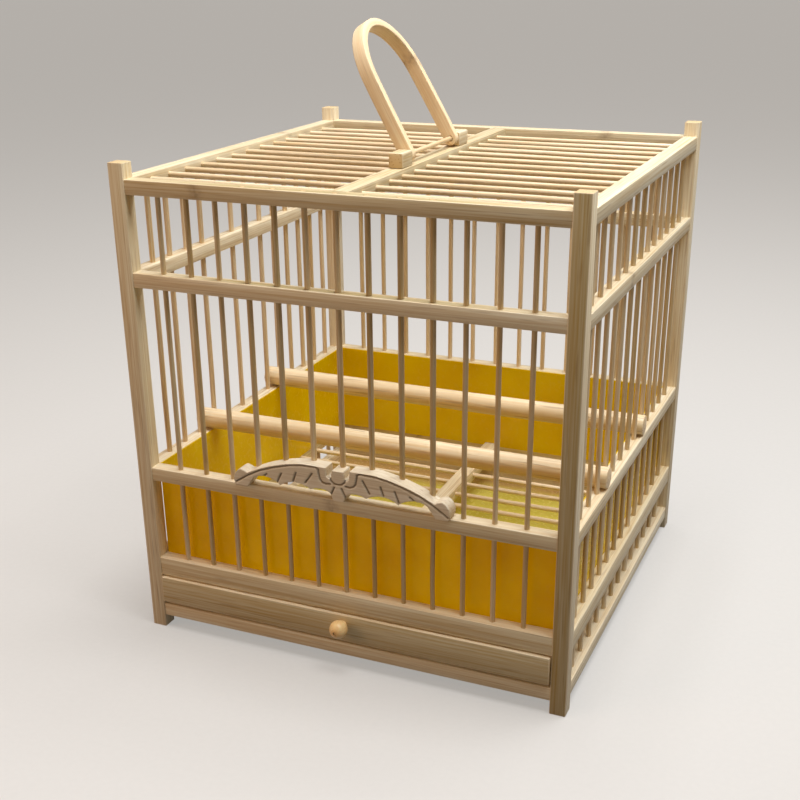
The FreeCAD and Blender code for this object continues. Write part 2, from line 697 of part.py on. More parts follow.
bow = doc.addObject("PartDesign::Body", "handle_bow")
bow_sketch = new_sketch(bow, "bow_outline", "YZ_Plane")
outer_side, outer_crown = bow_arch(bow_sketch, "0")
inner_side, inner_crown = bow_arch(bow_sketch, "bow_thickness")
arm_foot = FreeCAD.Vector(0, -value("bow_width / 2"), 0)
arm_lines = []
for arc, half_span in ((outer_side, "bow_span / 2"), (inner_side, "bow_span / 2 - bow_thickness")):
    shoulder = FreeCAD.Vector(value(half_span), 0, 0)
    line = bow_sketch.addGeometry(Part.LineSegment(shoulder + arm_foot, shoulder))
    bow_sketch.addConstraint(Sketcher.Constraint("Coincident", line, 2, arc, 1))
    bow_sketch.addConstraint(Sketcher.Constraint("Vertical", line))
    length = bow_sketch.addConstraint(Sketcher.Constraint("Distance", line, -arm_foot.y))
    bow_sketch.setExpression(f"Constraints[{length}]", formula("bow_width / 2"))
    arm_lines.append(line)
for first, second in (
    ((arm_lines[0], 1), (arm_lines[1], 1)),
    ((outer_crown, 2), (inner_crown, 2)),
):
    ends = [bow_sketch.getPoint(*first), bow_sketch.getPoint(*second)]
    line = bow_sketch.addGeometry(Part.LineSegment(*ends))
    bow_sketch.addConstraint(Sketcher.Constraint("Coincident", line, 1, *first))
    bow_sketch.addConstraint(Sketcher.Constraint("Coincident", line, 2, *second))
strip = bow.newObject("PartDesign::Pad", "bow_strip")
strip.Profile = bow_sketch
strip.SideType = "Symmetric"
bind(strip, Length="bow_width")
doc.recompute()
whole_bow = bow.newObject("PartDesign::Mirrored", "bow_both_arms")
whole_bow.Originals = [strip]
whole_bow.MirrorPlane = (origin_plane(bow, "XZ_Plane"), [""])
bow.Tip = whole_bow
doc.recompute()
hole_sketch = new_sketch(bow, "bow_hole_outline", "XZ_Plane")
hole_radius = value("pin_diameter / 2 + bow_hole_clearance")
hole_circle = hole_sketch.addGeometry(
    Part.Circle(FreeCAD.Vector(), FreeCAD.Vector(0, 0, 1), hole_radius)
)
hole_sketch.addConstraint(Sketcher.Constraint("Coincident", hole_circle, 3, *ORIGIN_INDEX_PAIR))
hole_size = hole_sketch.addConstraint(Sketcher.Constraint("Radius", hole_circle, hole_radius))
hole_sketch.setExpression(
    f"Constraints[{hole_size}]", formula("pin_diameter / 2 + bow_hole_clearance")
)
bow_holes = bow.newObject("PartDesign::Pocket", "bow_holes")
bow_holes.Profile = hole_sketch
bow_holes.SideType = "Symmetric"
bind(bow_holes, Length="bow_span + 2 * overrun")
doc.recompute()
rounded = bow.newObject("PartDesign::Fillet", "bow_rounded_ends")
foot_z = -value("bow_width / 2")
rounded.Base = (
    bow_holes,
    [
        f"Edge{number}"
        for number, edge in enumerate(bow_holes.Shape.Edges, start=1)
        if edge.BoundBox.ZMax < foot_z / 2 and edge.BoundBox.YLength > edge.BoundBox.XLength
    ],
)
bind(rounded, Radius=f"{BOW_END_SHARE} * bow_width")
bow.Tip = rounded
LEAN = FreeCAD.Rotation(FreeCAD.Vector(0, 1, 0), -BOW_TILT_DEGREES)
locate(bow, "0", "0", PIN_Z, LEAN)
keep(bow, "handle_bow")

# Build, test and write every sub-part.
doc.recompute()
for feature in doc.Objects:
    if "Invalid" in feature.State or "Error" in feature.State:
        raise RuntimeError(f"{feature.Label} failed: {feature.State}")
for feature in subparts:
    if feature.Shape.isNull() or not feature.Shape.isValid():
        raise RuntimeError(f"{feature.Label} has no valid shape")
os.makedirs("parts", exist_ok=True)
for feature in subparts:
    feature.Shape.exportStep(os.path.join("parts", f"{feature.Label}.step"))
print(len(subparts), "sub-parts written")
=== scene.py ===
# %% [markdown]
# A small bird cage made of split bamboo: square posts and flat rails hold rows of thin round bars.
# A carved door slides up in front, a drawer sits under the floor, and a bent strip is the handle.
# The CAD model is loaded first as the frame. Every piece made here is laid over it in the same
# metres, so the looks can change while the sizes stay those of the construction.

import math
import random

import bmesh
import bpy
from mathutils import Matrix, Vector


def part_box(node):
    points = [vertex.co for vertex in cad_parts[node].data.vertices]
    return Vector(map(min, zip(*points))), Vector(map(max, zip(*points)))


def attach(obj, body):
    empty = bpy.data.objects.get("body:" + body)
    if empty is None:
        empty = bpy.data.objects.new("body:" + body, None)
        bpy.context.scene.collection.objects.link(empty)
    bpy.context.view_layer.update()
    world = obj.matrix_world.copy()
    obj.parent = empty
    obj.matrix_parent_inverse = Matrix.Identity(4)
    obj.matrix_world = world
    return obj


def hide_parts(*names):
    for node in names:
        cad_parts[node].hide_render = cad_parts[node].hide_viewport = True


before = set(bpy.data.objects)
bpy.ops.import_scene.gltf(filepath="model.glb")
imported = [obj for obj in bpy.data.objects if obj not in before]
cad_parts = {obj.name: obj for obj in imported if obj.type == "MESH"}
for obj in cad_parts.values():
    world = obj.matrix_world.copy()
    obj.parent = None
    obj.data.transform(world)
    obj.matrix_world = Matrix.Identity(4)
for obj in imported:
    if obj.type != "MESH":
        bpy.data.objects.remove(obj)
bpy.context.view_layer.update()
MM = 0.001

# %% [markdown]
# Every finish is a small network of nodes. They could be clicked together by hand; from a script they
# come out the same each time. Three helpers keep them readable: one turns a paint chart's hex colour
# into the linear values that Blender mixes, one adds a node with its links, one starts a finish.


# %% Helpers for finishes
def colour(hex_code):
    """An sRGB hex colour as linear red, green, blue and alpha."""
    channels = [int(hex_code[start : start + 2], 16) / 255 for start in (1, 3, 5)]
    linear = [c / 12.92 if c <= 0.04045 else ((c + 0.055) / 1.055) ** 2.4 for c in channels]
    return (*linear, 1.0)


def put(tree, kind, inputs=None, **settings):
    """Adds a node with its settings; inputs holds plain values or the sockets to link from."""
    node = tree.nodes.new(kind)
    for name, value in settings.items():
        setattr(node, name, value)
    for socket, value in (inputs or {}).items():
        if isinstance(value, bpy.types.NodeSocket):
            tree.links.new(value, node.inputs[socket])
        else:
            node.inputs[socket].default_value = value
    return node


def new_finish(name):
    """An empty material and its principled shader, already linked to the output."""
    finish = bpy.data.materials.new(name)
    finish.use_nodes = True
    tree = finish.node_tree
    tree.nodes.clear()
    shader = put(tree, "ShaderNodeBsdfPrincipled")
    put(tree, "ShaderNodeOutputMaterial", {"Surface": shader.outputs[0]})
    return finish, tree, shader


print("bamboo cream in linear values:", [round(c, 3) for c in colour("#efd9ab")])

# %% [markdown]
# Planed bamboo is pale cream with straight fibres along the stick. Real ones are about 0.3 mm apart,
# too fine to show at this picture size, so they are drawn about 1 mm apart. A photograph wrapped round
# each stick would repeat and blur. Noise stretched along the grain fits a stick of any length.

# %% Pattern helpers
FIBRE = 1.0 * MM
FIBRE_LENGTH = 70 * MM
BUMP_STRENGTH = 0.3


def stretched_noise(tree, coords, grain, across, along, detail):
    """Noise drawn out along the grain axis; sizes are the pattern's own, in metres."""
    scale = [1 / across] * 3
    scale[grain] = 1 / along
    mapping = put(tree, "ShaderNodeMapping", {"Vector": coords, "Scale": scale})
    inputs = {"Vector": mapping.outputs[0], "Scale": 1.0, "Detail": detail, "Roughness": 0.6}
    return put(tree, "ShaderNodeTexNoise", inputs).outputs[0]


def lay_over(tree, body, tint, pattern, spread, most=1.0):
    """Lays a tint over a colour wherever a pattern is strong, up to the given share."""
    # The numbered sockets of Map Range are value, from low, from high, to low and to high.
    share = {0: pattern, 1: spread[0], 2: spread[1], 3: 0.0, 4: most}
    share = put(tree, "ShaderNodeMapRange", share).outputs[0]
    # Sockets 6 and 7 of Mix, and its output 2, are the ones for colours.
    return put(tree, "ShaderNodeMix", {0: share, 6: body, 7: tint}, data_type="RGBA").outputs[2]


def surface(tree, shader, body, sheen, height, relief):
    """Gives a shader its colour, a roughness between bounds of a pattern, and a fine relief."""
    tree.links.new(body, shader.inputs["Base Color"])
    pattern, spread, bounds = sheen
    rough = {0: pattern, 1: spread[0], 2: spread[1], 3: bounds[0], 4: bounds[1]}
    rough = put(tree, "ShaderNodeMapRange", rough)
    tree.links.new(rough.outputs[0], shader.inputs["Roughness"])
    bump = {"Height": height, "Strength": BUMP_STRENGTH, "Distance": relief}
    bump = put(tree, "ShaderNodeBump", bump)
    tree.links.new(bump.outputs[0], shader.inputs["Normal"])


print("fibres are drawn apart by", round(FIBRE / MM, 1), "mm")

# %% [markdown]
# A cane has a joint at about every span of the hand. Where a stick was split through one, a smudged
# brown ring crosses it. At sawn ends the dark bundles of fibres show as dots. Both could be painted
# by hand; worked out from the place along the stick, they fit every stick at once.

# %% Growth rings and sawn ends
SPECK = 2.5 * MM
RING_CORE = 0.4 * MM
RING_REACH = 5 * MM
RING_WANDER = 4 * MM
RING_SHARE = 0.5
RING_BROWN = "#7c5a35"
BUNDLE = 1.3 * MM
DOT_EDGE = (0.12, 0.35)
DOT_BROWN = "#b88f5e"
END_FACING = (0.8, 0.95)


def growth_ring(tree, coords, grain, sweep, body):
    """A smudged brown ring where the cane had a joint; its place comes with the piece."""
    place = put(tree, "ShaderNodeAttribute", attribute_name="ring").outputs["Fac"]
    along = put(tree, "ShaderNodeSeparateXYZ", {0: coords}).outputs[grain]
    gap = put(tree, "ShaderNodeMath", {0: along, 1: place}, operation="SUBTRACT").outputs[0]
    wander = {0: sweep, 1: 0.2, 2: 0.8, 3: -RING_WANDER, 4: RING_WANDER}
    wander = put(tree, "ShaderNodeMapRange", wander).outputs[0]
    gap = put(tree, "ShaderNodeMath", {0: gap, 1: wander}, operation="ADD").outputs[0]
    gap = put(tree, "ShaderNodeMath", {0: gap}, operation="ABSOLUTE").outputs[0]
    smudge = {0: gap, 1: RING_CORE, 2: RING_REACH, 3: RING_SHARE, 4: 0.0}
    smudge = put(tree, "ShaderNodeMapRange", smudge).outputs[0]
    speck = {"Vector": coords, "Scale": 1 / SPECK, "Detail": 2.0}
    speck = put(tree, "ShaderNodeTexNoise", speck).outputs[0]
    speck = put(tree, "ShaderNodeMapRange", {0: speck, 1: 0.35, 2: 0.65, 3: 0.3, 4: 1.0}).outputs[0]
    smudge = put(tree, "ShaderNodeMath", {0: smudge, 1: speck}, operation="MULTIPLY").outputs[0]
    ringed = {0: smudge, 6: body, 7: colour(RING_BROWN)}
    return put(tree, "ShaderNodeMix", ringed, data_type="RGBA").outputs[2]


def sawn_end(tree, texture, grain, coords, body, deep):
    """The end of a stick, where the fibres are cut across and show as brown dots."""
    facing = put(tree, "ShaderNodeSeparateXYZ", {0: texture.outputs["Normal"]}).outputs[grain]
    facing = put(tree, "ShaderNodeMath", {0: facing}, operation="ABSOLUTE").outputs[0]
    dots = put(tree, "ShaderNodeTexVoronoi", {"Vector": coords, "Scale": 1 / BUNDLE}).outputs["Distance"]
    dotted = lay_over(tree, colour(DOT_BROWN), colour(deep), dots, DOT_EDGE)
    return lay_over(tree, body, dotted, facing, END_FACING)


print("growth rings are", round(2 * RING_REACH / MM), "mm wide")

# %% [markdown]
# One function makes every bamboo finish. A deep colour lies over a pale one along the fibres, broad
# sweeps deepen some stretches, and short brown dashes are the dark bundles. Each direction in which a
# stick can lie has its own finish. Numbers stored on the mesh, called attributes, say how pale a piece
# is, with painted light and painted shade on some faces, where its ring sits, which faces are rubbed,
# and which are cut and darkened with painted shade as well as dust and end grain. A network for each
# stick would look the same, but a new colour would take dozens of edits.

# %% Planed bamboo
FIBRE_SPREAD = (0.34, 0.7)
FIBRE_RELIEF = 0.2 * MM
SHEEN_SPREAD = (0.3, 0.7)
SMOOTHER = 0.08
ROUGHER = 0.12
SWEEP = 7 * MM
SWEEP_LENGTH = 160 * MM
SWEEP_SPREAD = (0.45, 0.75)
SWEEP_SHARE = 0.3
BUNDLE_LENGTH = 26 * MM
BUNDLE_SPREAD = (0.6, 0.72)
BUNDLE_BROWN = "#8d6236"
WHOLE = (0.0, 1.0)
TONE_VALUE = (0.6, 1.05)
TONE_STRENGTH = (1.4, 0.95)
# Faces marked as cut are darkened with painted shade, together with dust and end grain.
CUT_SHARE = 0.75
CUT_BROWN = "#4d3c26"
WORN_SHARE = 0.35
WORN_CREAM = "#f8ebcd"


def bamboo(name, grain, pale, deep, roughness=0.52, dash=0.28, uv=False, rings=False, cuts=False):
    """Bamboo with its grain along one axis; the pale and deep colours are hex values."""
    finish, tree, shader = new_finish(name)
    texture = put(tree, "ShaderNodeTexCoord")
    coords = texture.outputs["UV" if uv else "Object"]
    fibre = stretched_noise(tree, coords, grain, FIBRE, FIBRE_LENGTH, 3.0)
    bundle = stretched_noise(tree, coords, grain, BUNDLE, BUNDLE_LENGTH, 1.0)
    sweep = stretched_noise(tree, coords, grain, SWEEP, SWEEP_LENGTH, 2.0)
    body = lay_over(tree, colour(pale), colour(deep), fibre, FIBRE_SPREAD)
    body = lay_over(tree, body, colour(deep), sweep, SWEEP_SPREAD, SWEEP_SHARE)
    body = lay_over(tree, body, colour(BUNDLE_BROWN), bundle, BUNDLE_SPREAD, dash)
    # The piece's shade read here is its tone together with painted light and painted shade on some
    # faces.
    tone_and_shade = put(tree, "ShaderNodeAttribute", attribute_name="tone_and_shade").outputs["Fac"]
    value = put(tree, "ShaderNodeMapRange", {0: tone_and_shade, 3: TONE_VALUE[0], 4: TONE_VALUE[1]})
    strength = put(tree, "ShaderNodeMapRange", {0: tone_and_shade, 3: TONE_STRENGTH[0], 4: TONE_STRENGTH[1]})
    shift = {"Value": value.outputs[0], "Color": body, "Saturation": strength.outputs[0]}
    body = put(tree, "ShaderNodeHueSaturation", shift).outputs[0]
    if rings:
        body = growth_ring(tree, coords, grain, sweep, body)
    mark, tint, most = ("cut", CUT_BROWN, CUT_SHARE) if cuts else ("worn", WORN_CREAM, WORN_SHARE)
    marked = put(tree, "ShaderNodeAttribute", attribute_name=mark).outputs["Fac"]
    body = lay_over(tree, body, colour(tint), marked, WHOLE, most)
    if not uv:
        body = sawn_end(tree, texture, grain, coords, body, deep)
    sheen = (fibre, SHEEN_SPREAD, (roughness - SMOOTHER, roughness + ROUGHER))
    surface(tree, shader, body, sheen, fibre, FIBRE_RELIEF)
    shader.inputs["IOR"].default_value = 1.5
    return finish


# Planed bamboo looks dry and satin: pale cream, streaked along the grain, with no gloss of its own.
STRIP_PALE = "#f5ebcd"
STRIP_DEEP = "#d6bc8d"
AXES = "xyz"
planed = [
    bamboo(f"planed_bamboo_{letter}", grain, STRIP_PALE, STRIP_DEEP, rings=True)
    for grain, letter in enumerate(AXES)
]
print("planed bamboo finishes:", [finish.name for finish in planed])

# %% [markdown]
# The frame's sticks are all straight: posts, rails, cross bars, blocks and the drawer's boards. Each
# is a box of its CAD node's size with planed edges, because a perfectly sharp edge makes a stick look
# false. A Bevel modifier could plane them too, but the bevel of bmesh also says which faces it made,
# and those are marked as worn.


# %% Helpers for sticks
def add_object(name, mesh):
    """A mesh as an object in the scene, at the origin."""
    made = bpy.data.objects.new(name, mesh)
    bpy.context.scene.collection.objects.link(made)
    return made


def fill_attribute(mesh, name, value):
    """The same number on every point of a mesh."""
    layer = mesh.attributes.new(name, "FLOAT", "POINT")
    layer.data.foreach_set("value", [value] * len(mesh.vertices))


def soften(mesh, degrees=38):
    """Smooth shading, kept crisp where two faces meet at more than this angle."""
    mesh.shade_smooth()
    mesh.set_sharp_from_angle(angle=math.radians(degrees))


def plain_mesh(name, shape):
    """A finished bmesh as a mesh."""
    mesh = bpy.data.meshes.new(name)
    shape.to_mesh(mesh)
    shape.free()
    return mesh


def eased_box(name, low, high, ease):
    """A box between two corners with its edges planed off by the given width."""
    shape = bmesh.new()
    size = Vector(high) - Vector(low)
    place = Matrix.Translation((Vector(low) + Vector(high)) / 2) @ Matrix.Diagonal((*size, 1.0))
    bmesh.ops.create_cube(shape, size=1.0, matrix=place)
    worn = shape.faces.layers.float.new("worn")
    settings = {"offset": ease, "segments": 2, "profile": 0.5, "affect": "EDGES"}
    planed_off = bmesh.ops.bevel(shape, geom=shape.edges[:], **settings)
    for face in planed_off["faces"]:
        face[worn] = 1.0
    return plain_mesh(name, shape)


def skin(shape, rings):
    """Faces over a row of rings of points, closed at both ends; returns the sides and the ends."""
    sides = []
    for first, second in zip(rings, rings[1:]):
        for step in range(len(first)):
            after = (step + 1) % len(first)
            sides.append(shape.faces.new((first[step], first[after], second[after], second[step])))
    ends = [shape.faces.new(ring) for ring in (rings[0], rings[-1])]
    return sides, ends


def keep_modified(piece):
    """What an object's modifiers make of it, kept as its own mesh."""
    bpy.context.view_layer.update()
    evaluated = piece.evaluated_get(bpy.context.evaluated_depsgraph_get())
    mesh = bpy.data.meshes.new_from_object(evaluated)
    piece.modifiers.clear()
    piece.data = mesh
    return mesh


def finish_piece(piece, body, node):
    """Ties a finished piece to its body and hides the CAD node it stands for."""
    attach(piece, body)
    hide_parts(node)


print("CAD nodes to dress:", len(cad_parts))

# %% [markdown]
# Sticks cut from several canes differ in shade, so a seeded number from 0, dark, to 1, pale, gives each
# its own. Those that stand out in the photograph are set one by one, some to match how light falls on
# them, as painted light and shade; a few fronts get painted shade, and one post painted light at its
# foot.

# %% Shades of the sticks
ink = random.Random(41)
STICK_SHADES = (0.45, 0.95)
POST_EASE = 0.45 * MM
RAIL_EASE = 0.35 * MM
BLOCK_EASE = 0.9 * MM
BOARD_EASE = 0.5 * MM
# Some of these are set paler or darker to match how light falls on the stick: painted light and shade.
TONES = {
    "post_front_right": 0.9,
    "drawer_front": 1.0,
    "rail_front_lower": 1.0,
    "rail_front_middle": 1.0,
    "rail_front_top": 0.55,
    "rail_front_upper": 0.95,
    "rail_front_bottom": 1.0,
    "handle_block_front": 0.5,
    "rail_left_middle": 1.0,
    "rail_left_upper": 1.0,
    "rail_right_middle": 0.95,
    "rail_right_bottom": 1.0,
    "rail_right_upper": 0.9,
    "post_back_left": 0.95,
}
# Painted shade: the front faces of these sticks are darker than their tops and sides.
PAINTED_FRONT_SHADE = {
    "post_front_right": 0.0,
    "drawer_front": 0.32,
    "rail_front_lower": 0.65,
    "rail_front_middle": 0.73,
}
# Painted light: this post is made paler towards its foot, where less light reaches it.
PAINTED_FOOT_LIGHT = {"post_front_left": 1.0}

# Growth rings, in metres along the stick from the middle of the cage; far away, none shows.
FAR_AWAY = 9.0
RINGS = {
    "rail_front_top": -0.070,
    "rail_front_middle": -0.004,
    "rail_left_top": 0.05,
    "rail_back_top": 0.062,
    "rail_right_upper": -0.03,
    "rail_back_lower": -0.05,
}


def stick(node, ease):
    """A straight stick over one CAD node, grain along its longest side."""
    low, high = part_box(node)
    mesh = eased_box(f"{node}_stick", low, high, ease)
    sides = [high[axis] - low[axis] for axis in range(3)]
    mesh.materials.append(planed[sides.index(max(sides))])
    fill_attribute(mesh, "tone_and_shade", TONES.get(node, ink.uniform(*STICK_SHADES)))
    fill_attribute(mesh, "ring", RINGS.get(node, FAR_AWAY))
    tones = mesh.attributes["tone_and_shade"].data
    # Painted shade on some front faces, painted light towards one post's foot.
    for vertex in mesh.vertices:
        if node in PAINTED_FRONT_SHADE and vertex.co.y < low[1] + ease / 10:
            tones[vertex.index].value = PAINTED_FRONT_SHADE[node]
        if node in PAINTED_FOOT_LIGHT and vertex.co.z < low[2] + 2 * ease:
            tones[vertex.index].value = PAINTED_FOOT_LIGHT[node]
    soften(mesh)
    return add_object(mesh.name, mesh)


print("sticks with a shade set by hand:", len(TONES))

# %% [markdown]
# Each stick is laid over its own CAD node and rides on that node's body. The two upper front rails
# wait for the next step, because they are drilled.

# %% Lay the sticks
LEVELS = ("bottom", "lower", "middle", "upper", "top")
SIDES = ("front", "back", "left", "right")
DRILLED = ("rail_front_top", "rail_front_upper")

posts = [f"post_{corner}" for corner in ("front_left", "front_right", "back_left", "back_right")]
rails = [f"rail_{side}_{level}" for side in SIDES for level in LEVELS]
whole_rails = [node for node in rails if node not in DRILLED]
bearers = ["roof_cross_bar", "floor_cross_bar", "drawer_runner_left", "drawer_runner_right"]
groups = (
    (posts, POST_EASE, "cage"),
    (whole_rails + bearers, RAIL_EASE, "cage"),
    (["handle_block_front", "handle_block_rear"], BLOCK_EASE, "cage"),
    (["drawer_back", "drawer_side_left", "drawer_side_right"], RAIL_EASE, "drawer"),
    (["drawer_front"], BOARD_EASE, "drawer"),
)
for nodes, ease, body in groups:
    for node in nodes:
        finish_piece(stick(node, ease), body, node)
print("straight sticks:", sum(len(nodes) for nodes, _, _ in groups))

# %% [markdown]
# The door's bars slide through round holes drilled in the two upper front rails. A Boolean for each
# hole would do, but a row is work for Geometry Nodes: a line of points carries one drill each, and a
# single Boolean takes them all out of the rail. Count, spacing and drill size are named inputs.

# %% Helpers for Geometry Nodes
ROW_INPUTS = {"Count": "Int", "First": "Vector", "Step": "Vector", "Finish": "Material"}


def row_group(name, inputs):
    """A tree for a row: returns the tree, its inputs, the row's points and the inputs' identifiers."""
    tree = bpy.data.node_groups.new(name, "GeometryNodeTree")
    tree.interface.new_socket(name="Geometry", in_out="INPUT", socket_type="NodeSocketGeometry")
    sockets = {}
    for label, kind in {**ROW_INPUTS, **inputs}.items():
        socket = tree.interface.new_socket(name=label, in_out="INPUT", socket_type=f"NodeSocket{kind}")
        sockets[label] = socket.identifier
    tree.interface.new_socket(name="Geometry", in_out="OUTPUT", socket_type="NodeSocketGeometry")
    given = put(tree, "NodeGroupInput").outputs
    places = {"Count": given["Count"], "Start Location": given["First"], "Offset": given["Step"]}
    points = put(tree, "GeometryNodeMeshLine", places, mode="OFFSET").outputs[0]
    return tree, given, points, sockets


def make_with_nodes(piece, tree, sockets, values):
    """Runs a tree on an object with the given inputs and keeps the result as a plain mesh."""
    modifier = piece.modifiers.new("nodes", "NODES")
    modifier.node_group = tree
    for label, value in values.items():
        modifier[sockets[label]] = value
    piece.update_tag()
    keep_modified(piece).name = piece.name


# The CAD bars are six-sided; this is their width from one flat side to the other.
BAR_FLATS = 2.62 * MM
BAR_COUNT = 13
roof_low, roof_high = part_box("roof_bars")
BAR_PITCH = (roof_high[1] - roof_low[1] - BAR_FLATS) / (BAR_COUNT - 1)
print("bar pitch in mm:", round(BAR_PITCH / MM, 3))

# %% [markdown]
# The tree is put together once and run on both rails. Its drill is longer than a rail is thick, so
# that it comes out on both sides, and a little wider than a bar, so that the bars slide.

# %% Drilled rails
DRILL_SIDES = 16
DRILL_DEPTH = 20 * MM
GUIDE_HOLE = 3.0 * MM
DOOR_BARS = 7
# A wall's bars stand this far from the middle of the cage.
WALL = 111.25 * MM
DRILL_INPUTS = {"Drill": "Float", "Depth": "Float"}

drilling, given, points, drill_sockets = row_group("row of drilled holes", DRILL_INPUTS)
half_drill = put(drilling, "ShaderNodeMath", {0: given["Drill"], 1: 0.5}, operation="MULTIPLY")
drill = {"Vertices": DRILL_SIDES, "Radius": half_drill.outputs[0], "Depth": given["Depth"]}
drill = put(drilling, "GeometryNodeMeshCylinder", drill)
drills = {"Points": points, "Instance": drill.outputs["Mesh"]}
drills = put(drilling, "GeometryNodeInstanceOnPoints", drills)
drills = put(drilling, "GeometryNodeRealizeInstances", {0: drills.outputs[0]})
drilled = put(drilling, "GeometryNodeMeshBoolean", operation="DIFFERENCE", solver="EXACT")
drilling.links.new(given["Geometry"], drilled.inputs["Mesh 1"])
drilling.links.new(drills.outputs[0], drilled.inputs["Mesh 2"])
drilled = put(drilling, "GeometryNodeSetMaterial", {0: drilled.outputs[0], "Material": given["Finish"]})
put(drilling, "NodeGroupOutput", {0: drilled.outputs[0]})

for node in DRILLED:
    low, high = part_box(node)
    rail = stick(node, RAIL_EASE)
    values = {
        "Count": DOOR_BARS,
        "First": (-(DOOR_BARS // 2) * BAR_PITCH, -WALL, (low[2] + high[2]) / 2),
        "Step": (BAR_PITCH, 0, 0),
        "Drill": GUIDE_HOLE,
        "Depth": DRILL_DEPTH,
        "Finish": planed[0],
    }
    make_with_nodes(rail, drilling, drill_sockets, values)
    soften(rail.data)
    finish_piece(rail, "cage", node)
    print(node, "drilled:", len(rail.data.polygons), "faces")

# %% [markdown]
# The bars are thin round splints, drawn through a plate and never quite straight. Copies of one bar
# would be a row of twins. So one tree makes every row: points on a line, a twelve-sided bar on each, a
# seeded shade for each bar and a very small wander of the surface.

# %% Tree for a row of bars
BAR_SIDES = 12
BAR_SEGMENTS = 6
# Waves to the metre: one slow bend in about 45 mm.
DRIFT_SCALE = 22.0

bar_inputs = {"Turn": "Vector", "Seed": "Int"}
for label in ("Length", "Diameter", "Wander", "Darkest", "Palest"):
    bar_inputs[label] = "Float"
row_tree, given, points, row_sockets = row_group("row of round bars", bar_inputs)
half = put(row_tree, "ShaderNodeMath", {0: given["Diameter"], 1: 0.5}, operation="MULTIPLY")
round_bar = {"Vertices": BAR_SIDES, "Side Segments": BAR_SEGMENTS}
round_bar.update({"Radius": half.outputs[0], "Depth": given["Length"]})
round_bar = put(row_tree, "GeometryNodeMeshCylinder", round_bar)
turn = put(row_tree, "FunctionNodeEulerToRotation", {0: given["Turn"]})
row = {"Points": points, "Instance": round_bar.outputs["Mesh"], "Rotation": turn.outputs[0]}
row = put(row_tree, "GeometryNodeInstanceOnPoints", row)
shade = {2: given["Darkest"], 3: given["Palest"], "Seed": given["Seed"]}
shade = put(row_tree, "FunctionNodeRandomValue", shade, data_type="FLOAT")
row = {"Geometry": row.outputs[0], "Name": "tone_and_shade", "Value": shade.outputs[1]}
row = put(row_tree, "GeometryNodeStoreNamedAttribute", row, data_type="FLOAT", domain="INSTANCE")
row = put(row_tree, "GeometryNodeRealizeInstances", {0: row.outputs[0]})
drift = put(row_tree, "ShaderNodeTexNoise", {"Scale": DRIFT_SCALE, "Detail": 1.0})
drift = {0: drift.outputs[1], 1: (0.5, 0.5, 0.5)}
drift = put(row_tree, "ShaderNodeVectorMath", drift, operation="SUBTRACT")
drift = {0: drift.outputs[0], "Scale": given["Wander"]}
drift = put(row_tree, "ShaderNodeVectorMath", drift, operation="SCALE")
row = put(row_tree, "GeometryNodeSetPosition", {"Geometry": row.outputs[0], "Offset": drift.outputs[0]})
row = put(row_tree, "GeometryNodeSetMaterial", {0: row.outputs[0], "Material": given["Finish"]})
put(row_tree, "NodeGroupOutput", {0: row.outputs[0]})
print("inputs of a row:", len(row_sockets))

# %% [markdown]
# Each row has its own range of shades: roof and floor grille are palest, with painted light from
# above, the front rows are browner, and the short bars below the door darkest, with painted shade.
# Bars of the front and right walls are a little thinner, and the door's bars are straighter, because
# they have to slide.

# %% Rows of round bars
BAR = 2.75 * MM
FRONT_BAR = 2.5 * MM
SHORT_BAR = 2.3 * MM
PIN_BAR = 2.4 * MM
WANDER = 0.9 * MM
DOOR_WANDER = 0.15 * MM
PIN_WANDER = 0.1 * MM
DOOR_BARS_PROUD = 0.5 * MM
SIDE_BARS = 3
PALE_ROW = (0.45, 1.0)
MIXED_ROW = (0.15, 0.75)
DARK_ROW = (0.05, 0.5)
# Painted shade: the short bars under the middle rail are darkened as if in its shadow.
PAINTED_SHADE_ROW = (0.0, 0.25)
# Painted light: the roof and floor bars are paler, as if lit from above.
PAINTED_LIGHT_ROW = (0.75, 1.0)
UPRIGHT = (0.0, 0.0, 0.0)
ALONG_X = (0.0, math.pi / 2, 0.0)
ALONG_Y = (math.pi / 2, 0.0, 0.0)
GRAIN = {ALONG_X: 0, ALONG_Y: 1, UPRIGHT: 2}

# Splints drawn through a plate are scraped smooth: a warmer tan than the frame, with a faint sheen.
BAR_PALE = "#f6e6c6"
BAR_DEEP = "#dfc090"
splint = [
    bamboo(f"drawn_bamboo_splint_{letter}", grain, BAR_PALE, BAR_DEEP, roughness=0.46)
    for grain, letter in enumerate(AXES)
]


def bar_row(node, body, count, step, turn, seed, shades=PALE_ROW, size=BAR, wander=WANDER, proud=0.0):
    """One row of bars over one CAD node: as long as the node's box and spread along it."""
    low, high = (Vector(corner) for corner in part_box(node))
    high.z += proud
    centre = (low + high) / 2
    step = Vector(step)
    grain = GRAIN[turn]
    row = add_object(f"{node}_row", bpy.data.meshes.new(node))
    values = {
        "Count": count,
        "First": centre - step * (count - 1) / 2,
        "Step": step,
        "Length": high[grain] - low[grain],
        "Diameter": size,
        "Turn": turn,
        "Wander": wander,
        "Darkest": shades[0],
        "Palest": shades[1],
        "Seed": seed,
        "Finish": splint[grain],
    }
    make_with_nodes(row, row_tree, row_sockets, values)
    soften(row.data)
    finish_piece(row, body, node)
    print(node, "bars:", count, "faces:", len(row.data.polygons))


